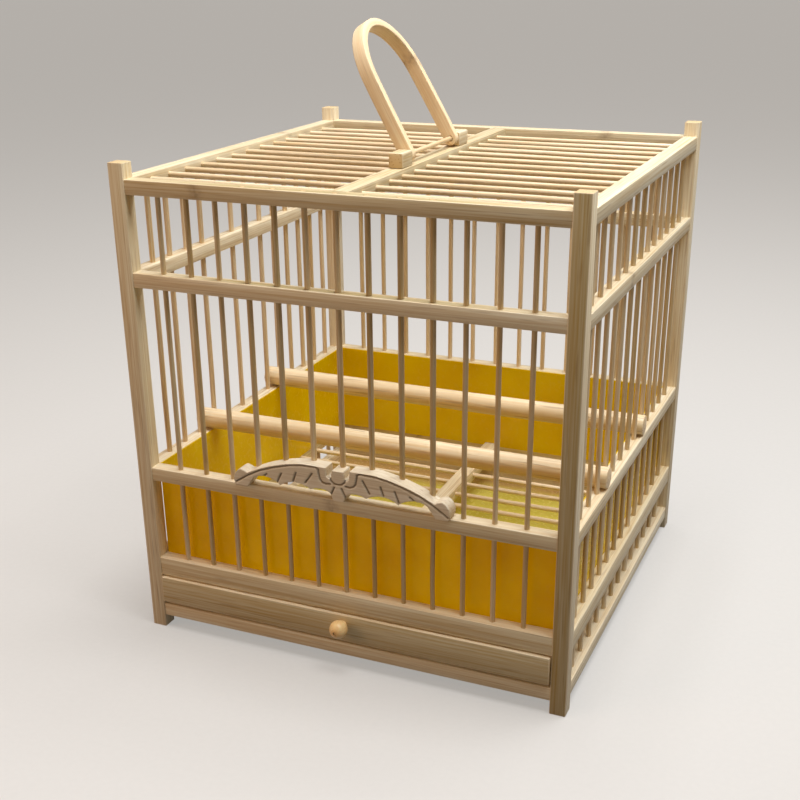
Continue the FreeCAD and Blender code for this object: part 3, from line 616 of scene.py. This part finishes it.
ACROSS_X = (BAR_PITCH, 0, 0)
ACROSS_Y = (0, BAR_PITCH, 0)
sliding = {"wander": DOOR_WANDER, "proud": DOOR_BARS_PROUD}
bar_row("back_bars", "cage", BAR_COUNT, ACROSS_X, UPRIGHT, 1)
bar_row("left_bars", "cage", BAR_COUNT, ACROSS_Y, UPRIGHT, 2)
bar_row("right_bars", "cage", BAR_COUNT, ACROSS_Y, UPRIGHT, 3, MIXED_ROW, FRONT_BAR)
bar_row("front_bars_left", "cage", SIDE_BARS, ACROSS_X, UPRIGHT, 4, DARK_ROW, FRONT_BAR)
bar_row("front_bars_right", "cage", SIDE_BARS, ACROSS_X, UPRIGHT, 5, DARK_ROW, FRONT_BAR)
bar_row("front_bars_below_door", "cage", DOOR_BARS, ACROSS_X, UPRIGHT, 6, PAINTED_SHADE_ROW, SHORT_BAR)
bar_row("roof_bars", "cage", BAR_COUNT, ACROSS_Y, ALONG_X, 7, PAINTED_LIGHT_ROW)
bar_row("floor_bars", "cage", BAR_COUNT, ACROSS_Y, ALONG_X, 8, PAINTED_LIGHT_ROW)
bar_row("door_bars", "door", DOOR_BARS, ACROSS_X, UPRIGHT, 9, DARK_ROW, **sliding)
bar_row("handle_pin", "cage", 1, ACROSS_Y, ALONG_Y, 10, PALE_ROW, PIN_BAR, PIN_WANDER)

# %% [markdown]
# The handle is one strip of bamboo, softened over a flame and bent to a tall arch that leans to the
# left. A bevelled curve could draw it, but without a grain that follows the bend. So a rounded section
# is carried along a path of a short foot, a long shallow curve and a tight crown, with a UV map in
# metres along and around the strip, which the finish reads.

# %% Bow handle
BOW_SPAN = 63 * MM
BOW_RISE = 68 * MM
BOW_WIDTH = 7 * MM
BOW_THICKNESS = 4 * MM
BOW_CROWN = 0.96 * BOW_SPAN / 2
BOW_LEAN = math.radians(-30)
PIN = Vector((0, 0, 242 * MM))
BOW_HOLE = 3.2 * MM
FOOT_STEPS = 8
# Each arm's foot is rounded down to this share of the strip's width.
FOOT_END = 0.12


def arch_path(inset, side_steps=18, crown_steps=14):
    """Half of the arch as (y, height, tangent angle, half width), from the foot up to the crown."""
    half_span = BOW_SPAN / 2 - inset
    rise = BOW_RISE - inset
    crown = BOW_CROWN - inset
    side = (half_span**2 + (rise - crown) ** 2 - crown**2) / (2 * (half_span - crown))
    centre_y = half_span - side
    turn = math.atan2(rise - crown, -centre_y)
    points = []
    for step in range(FOOT_STEPS, 0, -1):
        angle = math.pi / 2 * step / FOOT_STEPS
        reach = BOW_WIDTH / 2 * math.sin(angle)
        width = BOW_WIDTH / 2 * max(math.cos(angle), FOOT_END)
        points.append((half_span, -reach, 0.0, width))
    for step in range(side_steps):
        angle = turn * step / side_steps
        points.append((centre_y + side * math.cos(angle), side * math.sin(angle), angle, BOW_WIDTH / 2))
    for step in range(crown_steps + 1):
        angle = turn + (math.pi / 2 - turn) * step / crown_steps
        height = rise - crown + crown * math.sin(angle)
        points.append((crown * math.cos(angle), height, angle, BOW_WIDTH / 2))
    return points


half_path = arch_path(BOW_THICKNESS / 2)
other_half = [(-y, height, math.pi - angle, width) for y, height, angle, width in half_path[-2::-1]]
path = half_path + other_half
print("points along the bow's path:", len(path))

# %% [markdown]
# The section is a rectangle with rounded corners, four points at each. Each ring of the strip is that
# section, turned so that its thickness points outwards from the arch.

# %% Sweep the strip
ROUND = 0.45 * MM
CORNER_POINTS = 4
CORNERS = ((1, 1), (-1, 1), (-1, -1), (1, -1))


def section(half_width, half_thickness):
    """A rounded rectangle as (across, outwards) points."""
    points = []
    radius = min(ROUND, half_width * 0.9)
    for number, (side, face) in enumerate(CORNERS):
        for step in range(CORNER_POINTS):
            angle = math.pi / 2 * (number + step / (CORNER_POINTS - 1))
            across = side * (half_width - radius) + radius * math.cos(angle)
            points.append((across, face * (half_thickness - radius) + radius * math.sin(angle)))
    return points


strip = bmesh.new()
grain_map = strip.loops.layers.uv.new("grain")
rings = []
lengths = []
travelled = 0.0
before = None
for y, height, angle, width in path:
    travelled += (Vector((y, height)) - before).length if before else 0.0
    before = Vector((y, height))
    lengths.append(travelled)
    outwards = Vector((0, math.cos(angle), math.sin(angle)))
    place = Vector((0, y, height))
    ring = []
    for across, out in section(width, BOW_THICKNESS / 2):
        ring.append(strip.verts.new(place + Vector((across, 0, 0)) + outwards * out))
    rings.append(ring)
SECTION_POINTS = len(rings[0])
girth = [Vector(point) for point in section(BOW_WIDTH / 2, BOW_THICKNESS / 2)]
around = [0.0]
for corner in range(SECTION_POINTS):
    around.append(around[-1] + (girth[(corner + 1) % SECTION_POINTS] - girth[corner]).length)
sides, _ = skin(strip, rings)
for count, face in enumerate(sides):
    number, corner = divmod(count, SECTION_POINTS)
    stops = ((number, corner), (number, corner + 1), (number + 1, corner + 1), (number + 1, corner))
    for loop, (along, across) in zip(face.loops, stops):
        loop[grain_map].uv = (lengths[along], around[across])
bmesh.ops.recalc_face_normals(strip, faces=strip.faces[:])
bow_mesh = plain_mesh("handle_bow_strip", strip)
print("bow strip length in mm:", round(travelled / MM, 1))

# %% [markdown]
# The pin's holes are drilled through both arms while the arch stands upright; then it leans over about
# the pin. The drilling tree could do it, but a plain Boolean with one long round rod is shorter.

# %% Drill and lean the bow
BOW_RING = 48 * MM

# Bamboo bent over a flame keeps its skin: a warm, even cream with the streaks following the bend.
bent = bamboo("bent_bamboo_strip", 0, "#fce9c2", "#edcd9a", uv=True, rings=True)
bow = add_object("handle_bow_strip", bow_mesh)
rod_shape = bmesh.new()
rod_place = Matrix.Rotation(math.pi / 2, 4, "X")
rod_sizes = {"radius1": BOW_HOLE / 2, "radius2": BOW_HOLE / 2, "depth": 2 * BOW_SPAN}
bmesh.ops.create_cone(rod_shape, cap_ends=True, matrix=rod_place, segments=20, **rod_sizes)
rod = add_object("drill_rod", plain_mesh("drill_rod", rod_shape))
hole = bow.modifiers.new("pin holes", "BOOLEAN")
hole.object = rod
hole.operation = "DIFFERENCE"
hole.solver = "EXACT"
drilled_bow = keep_modified(bow)
bpy.data.objects.remove(rod)
drilled_bow.transform(Matrix.Translation(PIN) @ Matrix.Rotation(BOW_LEAN, 4, "Y"))
drilled_bow.materials.clear()
drilled_bow.materials.append(bent)
fill_attribute(drilled_bow, "tone_and_shade", 0.95)
fill_attribute(drilled_bow, "ring", BOW_RING)
soften(drilled_bow)
finish_piece(bow, "handle", "handle_bow")
print("bow faces:", len(drilled_bow.polygons))

# %% [markdown]
# The door's foot is a fretted and carved bamboo plate in the shape of a bat with spread wings, an old
# sign of good luck. It could be sculpted, but then no number would set its size. So the outline is
# fretted first, in shares of the half width and of the height. Each entry is the end of a cut and, for
# an arc, a point on the way to it.

# %% Outline of the carving
carving_low, carving_high = (Vector(corner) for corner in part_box("door_carving"))
HALF_WIDTH = (carving_high.x - carving_low.x) / 2
HEIGHT = carving_high.z - carving_low.z
OUTLINE = [
    ((0, 0.02), None),
    ((0.045, 0.02), None),
    ((0.075, 0.25), None),
    ((0.255, 0.245), (0.165, 0.32)),
    ((0.54, 0.22), (0.39, 0.385)),
    ((0.79, 0.34), (0.665, 0.41)),
    ((0.86, 0), None),
    ((0.97, 0), None),
    ((0.925, 0.52), (0.985, 0.27)),
    ((0.855, 0.44), (0.885, 0.5)),
    ((0.3, 1), (0.6, 0.8)),
    ((0.108, 0.985), None),
    ((0.103, 0.78), None),
    ((0.06, 0.78), (0.081, 0.68)),
    ((0.055, 0.93), None),
    ((0, 0.93), None),
]


def spot(shares):
    """A point of the carving's face from its shares of half width and height."""
    return Vector((shares[0] * HALF_WIDTH, carving_low.z + shares[1] * HEIGHT))


def through(a, b, c, steps=12):
    """Points on the circle through three points, from the first to the last, without the first."""
    d = 2 * (a.x * (b.y - c.y) + b.x * (c.y - a.y) + c.x * (a.y - b.y))
    squares = [point.length_squared for point in (a, b, c)]
    x = (squares[0] * (b.y - c.y) + squares[1] * (c.y - a.y) + squares[2] * (a.y - b.y)) / d
    y = (squares[0] * (c.x - b.x) + squares[1] * (a.x - c.x) + squares[2] * (b.x - a.x)) / d
    centre = Vector((x, y))
    angles = [math.atan2(point.y - y, point.x - x) for point in (a, b, c)]
    full = 2 * math.pi
    sweep = (angles[2] - angles[0]) % full
    if (angles[1] - angles[0]) % full > sweep:
        sweep -= full
    radius = (a - centre).length
    turns = [angles[0] + sweep * step / steps for step in range(1, steps + 1)]
    return [centre + radius * Vector((math.cos(turn), math.sin(turn))) for turn in turns]


half_outline = [spot(OUTLINE[0][0])]
for shares, middle in OUTLINE[1:]:
    if middle:
        half_outline += through(half_outline[-1], spot(middle), spot(shares))
    else:
        half_outline.append(spot(shares))
outline = half_outline + [Vector((-point.x, point.y)) for point in half_outline[-2:0:-1]]
print("carving outline points:", len(outline))

# %% [markdown]
# The knife lines follow the real carving: a line under the upper edge that curls round each side of
# the head, a bowed line under it, two cuts in the tail, and four short strokes in each wing, cut by
# eye and so not quite alike. Dark lines in the finish would do from afar; real grooves also catch the
# light. Each line is a chain of straight pieces.

# %% Knife lines
BORDER_LINES = [
    [(0.97, 0.1), (0.85, 0.36), (0.73, 0.57), (0.6, 0.73), (0.45, 0.87), (0.33, 0.935), (0.2, 0.945)],
    [(0.2, 0.945), (0.176, 0.9), (0.17, 0.74), (0.162, 0.62), (0.143, 0.54), (0.11, 0.5), (0.07, 0.51)],
    [(0.07, 0.71), (0.062, 0.62), (0.037, 0.55), (0, 0.53)],
    [(0.034, 0.43), (0.048, 0.32), (0.066, 0.19)],
]
LEFT_STROKES = [
    [(-0.235, 0.74), (-0.3, 0.43)],
    [(-0.385, 0.69), (-0.415, 0.41)],
    [(-0.525, 0.59), (-0.57, 0.28)],
    [(-0.665, 0.5), (-0.695, 0.41)],
]
RIGHT_STROKES = [
    [(0.225, 0.77), (0.285, 0.42)],
    [(0.385, 0.67), (0.41, 0.42)],
    [(0.51, 0.6), (0.545, 0.3)],
    [(0.64, 0.52), (0.685, 0.41)],
]
mirrored_lines = [[(-x, z) for x, z in chain] for chain in BORDER_LINES]
KNIFE_LINES = BORDER_LINES + mirrored_lines + LEFT_STROKES + RIGHT_STROKES
KNIFE_WIDTH = 0.55 * MM
KNIFE_DEPTH = 0.8 * MM
FACE_DEPTH = 0.4 * MM
SLOT_SIDES = (0.05, 0.113)
SLOT_FOOT = 0.62
SLOT_TOP = 0.93


def distance_to_lines(point):
    """How far a point of the face lies from the nearest knife line."""
    flat = Vector((point.x, point.z))
    nearest = FAR_AWAY
    for chain in KNIFE_LINES:
        for first, second in zip(chain, chain[1:]):
            start, end = spot(first), spot(second)
            along = end - start
            share = max(0.0, min(1.0, (flat - start).dot(along) / along.length_squared))
            nearest = min(nearest, (flat - start - along * share).length)
    return nearest


def in_slot(point):
    """Whether a point lies in the walls of the two slots beside the head."""
    across = abs(point.x) / HALF_WIDTH
    up = (point.z - carving_low.z) / HEIGHT
    return SLOT_SIDES[0] < across < SLOT_SIDES[1] and SLOT_FOOT < up < SLOT_TOP


print("knife lines:", len(KNIFE_LINES))

# %% [markdown]
# The outline is pushed back to a solid plate, turned into small even cells and sanded, so that its
# edges are soft and its face has points enough for grooves. A point of the front face sinks by how
# close it lies to a knife line. Grooves and the two slots beside the head are marked as cuts, which
# the finish darkens: painted shade in both, and dust in the grooves as well.

# %% Carve the plate
CELL = 0.42 * MM
SLOT_SHADE = 0.45

plate = bmesh.new()
front_loop = [plate.verts.new((point.x, carving_low.y, point.y)) for point in outline]
front_face = plate.faces.new(front_loop)
pushed = bmesh.ops.extrude_face_region(plate, geom=[front_face])
moved = [item for item in pushed["geom"] if isinstance(item, bmesh.types.BMVert)]
bmesh.ops.translate(plate, verts=moved, vec=(0, carving_high.y - carving_low.y, 0))
bmesh.ops.recalc_face_normals(plate, faces=plate.faces[:])
bmesh.ops.triangulate(plate, faces=plate.faces[:])
carving = add_object("door_carving_plate", plain_mesh("door_carving_plate", plate))
cells = carving.modifiers.new("cells", "REMESH")
cells.mode = "VOXEL"
cells.voxel_size = CELL
sanding = carving.modifiers.new("sanding", "SMOOTH")
sanding.factor = 0.5
sanding.iterations = 3
carved = keep_modified(carving)
cut = carved.attributes.new("cut", "FLOAT", "POINT")
shares = [0.0] * len(carved.vertices)
for vertex in carved.vertices:
    if vertex.co.y < carving_low.y + FACE_DEPTH:
        near = distance_to_lines(vertex.co) / KNIFE_WIDTH
        if near < 1:
            shares[vertex.index] = 1 - near * near
            vertex.co.y += KNIFE_DEPTH * shares[vertex.index]
    # Painted shade on the walls of the two slots beside the head.
    elif vertex.co.y < carving_high.y - FACE_DEPTH and in_slot(vertex.co):
        shares[vertex.index] = SLOT_SHADE
cut.data.foreach_set("value", shares)
fill_attribute(carved, "tone_and_shade", 0.95)
# Sanded and knife-cut bamboo is matt: a greyer cream than the frame, with dust and painted shade in its
# cuts.
sanded = bamboo("carved_bamboo_plate", 0, "#ece1c9", "#d9c8a6", roughness=0.58, cuts=True)
carved.materials.append(sanded)
soften(carved, degrees=50)
finish_piece(carving, "door", "door_carving")
print("carving faces:", len(carved.polygons), "points in cuts:", sum(share > 0 for share in shares))

# %% [markdown]
# The drawer's knob was turned on a lathe: a ball on a short neck, with a small dimple where the end of
# its dowel shows. A ball and a cylinder would come near; a profile spun round its axis is how a lathe
# works. The dimple is marked as a cut: its end grain is darker, and painted shade darkens the hollow
# too.

# %% Profile of the knob
knob_low, knob_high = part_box("drawer_knob")
KNOB_CENTRE = Vector((0, 0, (knob_low[2] + knob_high[2]) / 2))
NECK_FACE = -115.6 * MM
NECK_END = -117.3 * MM
NECK_RADIUS = 2.1 * MM
BALL_RADIUS = 4.6 * MM
BALL_CENTRE = -121.4 * MM
BALL_STEPS = 24
BALL_FIRST = 5
BALL_LAST = 22
DIMPLE = 0.9 * MM
DIMPLE_RIM = -125.9 * MM
DIMPLE_FLOOR = -125.4 * MM
profile = [(0.0, NECK_FACE), (NECK_RADIUS, NECK_FACE), (NECK_RADIUS, NECK_END)]
for step in range(BALL_FIRST, BALL_LAST + 1):
    angle = math.pi * step / BALL_STEPS
    radius = BALL_RADIUS * math.sin(angle)
    profile.append((radius, BALL_CENTRE + BALL_RADIUS * math.cos(angle)))
profile += [(DIMPLE, DIMPLE_RIM), (0.9 * DIMPLE, DIMPLE_FLOOR), (0.0, DIMPLE_FLOOR)]
print("points of the knob's profile:", len(profile))

# %% [markdown]
# The profile is spun round the knob's axis, and the doubled points where the circle closes are merged.

# %% Turned knob
knob_shape = bmesh.new()
line = [knob_shape.verts.new((radius, y, 0)) for radius, y in profile]
edges = [knob_shape.edges.new(pair) for pair in zip(line, line[1:])]
spin = {"angle": 2 * math.pi, "steps": 32, "axis": (0, 1, 0), "cent": (0, 0, 0)}
bmesh.ops.spin(knob_shape, geom=line + edges, **spin)
bmesh.ops.remove_doubles(knob_shape, verts=knob_shape.verts[:], dist=0.01 * MM)
bmesh.ops.recalc_face_normals(knob_shape, faces=knob_shape.faces[:])
bmesh.ops.translate(knob_shape, verts=knob_shape.verts[:], vec=KNOB_CENTRE)
knob_mesh = plain_mesh("drawer_knob_turned", knob_shape)
# Turned bamboo is rubbed with its own shavings: a smooth honey cream with a clear highlight.
turned = bamboo("turned_bamboo_knob", 1, "#ffe09c", "#f7ca82", roughness=0.36, dash=0.12, cuts=True)
knob_mesh.materials.append(turned)
fill_attribute(knob_mesh, "tone_and_shade", 1.0)
fill_attribute(knob_mesh, "cut", 0.0)
cut = knob_mesh.attributes["cut"].data
# Painted shade and darker end grain in the dimple.
for vertex in knob_mesh.vertices:
    off_axis = Vector((vertex.co.x, vertex.co.z - KNOB_CENTRE.z)).length
    if off_axis < 1.05 * DIMPLE and vertex.co.y < BALL_CENTRE:
        cut[vertex.index].value = 1.0
soften(knob_mesh, degrees=45)
finish_piece(add_object("drawer_knob_turned", knob_mesh), "drawer", "drawer_knob")
print("knob faces:", len(knob_mesh.polygons))

# %% [markdown]
# Two perches lie on the middle rails: scraped sticks about 11 mm thick, round but not true, with sawn
# ends. A plain cylinder would look machine made, so the rings of a tube wander by smooth waves with
# seeded starts. The top is paler than the underside: painted light on top and painted shade below.

# %% Perches
PERCH_SECTIONS = 40
PERCH_AROUND = 32
# Near an end: how far in a ring sits and how much of the stick is scraped off there, in mm.
PERCH_ENDS = ((0.0, 0.5), (0.15, 0.15), (0.5, 0.0))
PERCH_SCRAPED = 0.12 * MM
PERCH_SWELL = 0.05 * MM
# Turns of the waves in radians to the metre of length.
LONG_WAVE = 45
TWIST = 30
PERCH_TONES = (0.9, 1.0)
# Painted light and shade round a perch: its top is painted paler and its underside darker.
PERCH_SIDE_SHADE = 0.75
PERCH_TOP_LIGHT = 0.25
END_WEAR = 0.3


def perch(node, seed):
    """A scraped round stick over one CAD perch."""
    low, high = (Vector(corner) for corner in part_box(node))
    centre = (low + high) / 2
    radius = (high.z - low.z) / 2
    wave = random.Random(seed)
    # Three starts are for the waves; the fourth only keeps the draw of the shade in its place.
    phases = [wave.uniform(0, 2 * math.pi) for _ in range(4)]
    length = high.x - low.x
    last_end = len(PERCH_ENDS) - 1
    shape = bmesh.new()
    worn = shape.faces.layers.float.new("worn")
    rings = []
    stations = [low.x + inset * MM for inset, _ in PERCH_ENDS]
    stations += [low.x + length * step / PERCH_SECTIONS for step in range(1, PERCH_SECTIONS)]
    stations += [high.x - inset * MM for inset, _ in reversed(PERCH_ENDS)]
    for number, x in enumerate(stations):
        from_end = min(number, len(stations) - 1 - number)
        eased = radius - PERCH_ENDS[min(from_end, last_end)][1] * MM
        ring = []
        for step in range(PERCH_AROUND):
            angle = 2 * math.pi * step / PERCH_AROUND
            bend = math.sin(x * LONG_WAVE + phases[0]) + math.sin(3 * angle + x * TWIST + phases[1])
            out = eased - PERCH_SCRAPED + PERCH_SWELL * (bend + math.sin(2 * angle + phases[2]))
            side = Vector((0, math.cos(angle), math.sin(angle)))
            ring.append(shape.verts.new(Vector((x, centre.y, centre.z)) + side * out))
        rings.append(ring)
    _, ends = skin(shape, rings)
    for end in ends:
        end[worn] = END_WEAR
    bmesh.ops.recalc_face_normals(shape, faces=shape.faces[:])
    mesh = plain_mesh(f"{node}_stick", shape)
    mesh.materials.append(scraped)
    fill_attribute(mesh, "tone_and_shade", wave.uniform(*PERCH_TONES))
    tones = mesh.attributes["tone_and_shade"].data
    # Painted light on the top, painted shade on the underside.
    for vertex in mesh.vertices:
        lift = (vertex.co.z - centre.z) / radius
        tones[vertex.index].value *= PERCH_SIDE_SHADE + PERCH_TOP_LIGHT * lift
    soften(mesh, degrees=35)
    finish_piece(add_object(mesh.name, mesh), node, node)
    print(node, "radius in mm:", round(radius / MM, 2), "faces:", len(mesh.polygons))


# Scraped cane is pale and a little waxy, with darker dashes where the knife left some skin.
scraped = bamboo("scraped_cane_perch", 0, "#fdedca", "#eacc98", roughness=0.42, dash=0.4)
perch("perch_front", 21)
perch("perch_rear", 22)

# %% [markdown]
# Splash panels and the drawer's floor are sheets of glossy yellow vinyl. They are flat, so the CAD
# sheets stay and only get a finish: a wavy gloss that bends the reflections of the bars, cloudy colour
# and fine scuffs. One even yellow would be simpler, but looks like paint. Light shines through the thin
# front sheet, and the drawer's sheet is duller and greener, and browner towards its back.

# %% Yellow vinyl sheet
CLOUD = 34 * MM
CLOUD_SPREAD = (0.35, 0.7)
WAVE = 17 * MM
WAVE_RELIEF = 0.8 * MM
SCUFF = 2.4 * MM
SCUFF_SPREAD = (0.6, 0.75)
SCUFF_SHARE = 0.3
GLOSS_SPREAD = (0.35, 0.7)
GLOSS_ROUGHNESS = (0.14, 0.34)
# The drawer's sheet turns browner towards its back, along this slant.
BACK_TINT_SLANT = (-0.14, 1.0, 0.0)
BACK_TINT_EDGE = (76 * MM, 90 * MM)
BACK_TINT_WANDER = 6 * MM
BACK_TINT_SHARE = 0.9


def vinyl(name, pale, deep, scuffed, light_through, back_tint=None):
    """Glossy vinyl in two cloudy shades, with the colours of its scuffs and of any tint towards its
    back.
    """
    finish, tree, shader = new_finish(name)
    coords = put(tree, "ShaderNodeTexCoord").outputs["Object"]
    cloud, wave, scuff = (
        put(tree, "ShaderNodeTexNoise", {"Vector": coords, "Scale": 1 / size, "Detail": 3.0}).outputs[0]
        for size in (CLOUD, WAVE, SCUFF)
    )
    body = lay_over(tree, colour(pale), colour(deep), cloud, CLOUD_SPREAD)
    body = lay_over(tree, body, colour(scuffed), scuff, SCUFF_SPREAD, SCUFF_SHARE)
    if back_tint:
        slant = {0: coords, 1: BACK_TINT_SLANT}
        slant = put(tree, "ShaderNodeVectorMath", slant, operation="DOT_PRODUCT").outputs["Value"]
        wander = {0: cloud, 1: 0.3, 2: 0.7, 3: -BACK_TINT_WANDER, 4: BACK_TINT_WANDER}
        wander = put(tree, "ShaderNodeMapRange", wander).outputs[0]
        drift = put(tree, "ShaderNodeMath", {0: slant, 1: wander}, operation="ADD").outputs[0]
        body = lay_over(tree, body, colour(back_tint), drift, BACK_TINT_EDGE, BACK_TINT_SHARE)
    surface(tree, shader, body, (scuff, GLOSS_SPREAD, GLOSS_ROUGHNESS), wave, WAVE_RELIEF)
    shader.inputs["IOR"].default_value = 1.53
    shader.inputs["Specular IOR Level"].default_value = 0.2
    lit = put(tree, "ShaderNodeBsdfTranslucent", {"Color": body})
    sheet = put(tree, "ShaderNodeMixShader", {0: light_through, 1: shader.outputs[0], 2: lit.outputs[0]})
    tree.links.new(sheet.outputs[0], tree.nodes["Material Output"].inputs["Surface"])
    return finish


# Calendered vinyl was rolled smooth: a strong yellow whose gloss shows the bars as wavy streaks.
clean_sheet = vinyl("calendered_yellow_vinyl", "#f8d804", "#eec604", "#f0d03c", 0.15)
# A thinner vinyl lets the light inside the cage through and glows, brighter and less mirror-like.
thin_sheet = vinyl("thin_yellow_vinyl", "#f8df06", "#eecf04", "#f1d53c", 0.6)
# The drawer's vinyl is duller and greener than the panels, and browner along its back.
drawer_sheet = vinyl("olive_yellow_vinyl", "#d2c65c", "#c2b344", "#d8cf86", 0.0, "#b8925c")
sheets = {
    "panel_front": thin_sheet,
    "panel_back": clean_sheet,
    "panel_left": clean_sheet,
    "panel_right": clean_sheet,
    "drawer_base": drawer_sheet,
}
for node, finish in sheets.items():
    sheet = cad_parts[node]
    sheet.data.materials.clear()
    sheet.data.materials.append(finish)
print("vinyl sheets:", len(sheets))

# %% [markdown]
# A plain pale floor carries the shadow. Far from the lamps it would fall off to grey, and a lamp for
# it alone would also light the cage. So the floor glows a little where it is seen, and the light that
# it throws back on the cage stays weak.

# %% Floor
PAPER_TOOTH = 3 * MM
FLOOR_GLOW = 0.5
FLOOR_REACH = 30.0


def shows_backdrop(tree):
    """One for rays that show what is behind: seen straight, mirrored or through a clear piece."""
    rays = put(tree, "ShaderNodeLightPath").outputs
    shown = rays["Is Camera Ray"]
    for kind in ("Is Glossy Ray", "Is Transmission Ray"):
        shown = put(tree, "ShaderNodeMath", {0: shown, 1: rays[kind]}, operation="MAXIMUM").outputs[0]
    return shown


# Matt paper scatters light evenly: a pale grey with a faint tooth and no shine.
floor_finish, tree, shader = new_finish("matt_paper_floor")
seen = shows_backdrop(tree)
coords = put(tree, "ShaderNodeTexCoord").outputs["Object"]
tooth = {"Vector": coords, "Scale": 1 / PAPER_TOOTH, "Detail": 2.0}
tooth = put(tree, "ShaderNodeTexNoise", tooth).outputs[0]
paper = {0: tooth, 6: colour("#9d9b97"), 7: colour("#a3a19d")}
paper = put(tree, "ShaderNodeMix", paper, data_type="RGBA").outputs[2]
paper = {0: seen, 6: colour("#62605d"), 7: paper}
paper = put(tree, "ShaderNodeMix", paper, data_type="RGBA").outputs[2]
tree.links.new(paper, shader.inputs["Base Color"])
shader.inputs["Roughness"].default_value = 0.9
shader.inputs["Emission Color"].default_value = colour("#dddbd7")
glow = put(tree, "ShaderNodeMath", {0: seen, 1: FLOOR_GLOW}, operation="MULTIPLY").outputs[0]
tree.links.new(glow, shader.inputs["Emission Strength"])
floor_shape = bmesh.new()
bmesh.ops.create_grid(floor_shape, x_segments=4, y_segments=4, size=FLOOR_REACH)
floor_mesh = plain_mesh("floor", floor_shape)
floor_mesh.materials.append(floor_finish)
floor = add_object("floor", floor_mesh)
print("floor side in metres:", 2 * FLOOR_REACH)

# %% [markdown]
# The photograph has one wide soft light above and to the right: tops are bright cream, the faces
# towards us are in soft shade. A sun lamp would be simpler, but its shadows have hard edges. A weak
# light from the left front and an even sky keep the shaded faces readable.

# %% Lights
SKY_STRENGTH = 0.175


def soft_light(name, place, aim, size, watts, tint):
    """A square lamp with soft edges that points at a spot."""
    lamp = bpy.data.lights.new(name, "AREA")
    lamp.shape = "SQUARE"
    lamp.size = size
    lamp.energy = watts
    lamp.color = colour(tint)[:3]
    holder = bpy.data.objects.new(name, lamp)
    holder.location = place
    holder.rotation_euler = (Vector(aim) - Vector(place)).to_track_quat("-Z", "Y").to_euler()
    bpy.context.scene.collection.objects.link(holder)


overhead = {"place": (0.24, 0.02, 1.15), "aim": (0, 0, 0.15), "size": 0.8}
soft_light("overhead_softbox", **overhead, watts=18.5, tint="#fbfcff")
fill = {"place": (-0.7, -0.72, 0.44), "aim": (-0.05, -0.1, 0.12), "size": 0.6}
soft_light("front_fill", **fill, watts=2.1, tint="#ffc99e")
world = bpy.data.worlds.new("even_sky")
bpy.context.scene.world = world
world.use_nodes = True
tree = world.node_tree
tree.nodes.clear()
# Seen or mirrored, the sky is a pale grey wall; on the cage it is only a weak warm light.
seen = shows_backdrop(tree)
lighting = put(tree, "ShaderNodeBackground", {"Color": colour("#ffdcbc"), "Strength": SKY_STRENGTH})
backdrop = put(tree, "ShaderNodeBackground", {"Color": colour("#b3aea8"), "Strength": 1.0})
sky = put(tree, "ShaderNodeMixShader", {0: seen, 1: lighting.outputs[0], 2: backdrop.outputs[0]})
put(tree, "ShaderNodeOutputWorld", {"Surface": sky.outputs[0]})
bpy.context.scene.view_settings.view_transform = "Standard"

# %% [markdown]
# The camera stands where the photographer stood: in front, to the right and a little above the roof.
# Setting it by eye is slow; its place and lens were solved from the corners of posts and rails.

# %% Camera
CAMERA_LOOK = Vector((-0.3716, 0.8379, -0.3998))
CAMERA_ROLL = math.radians(-0.75)
camera_data = bpy.data.cameras.new("camera")
camera_data.lens = 54.78
camera_data.sensor_width = 36
camera_data.shift_x = 0.0125
camera_data.shift_y = 0.10
camera = bpy.data.objects.new("camera", camera_data)
camera.location = (0.2361, -0.5884, 0.3338)
aim = CAMERA_LOOK.to_track_quat("-Z", "Y").to_matrix().to_4x4()
camera.rotation_euler = (aim @ Matrix.Rotation(CAMERA_ROLL, 4, "Z")).to_euler()
bpy.context.scene.collection.objects.link(camera)
bpy.context.scene.camera = camera
print("camera lens in mm:", camera_data.lens)

# %% [markdown]
# Last, the scene's view layer is updated.

# %% Update the scene
bpy.context.view_layer.update()
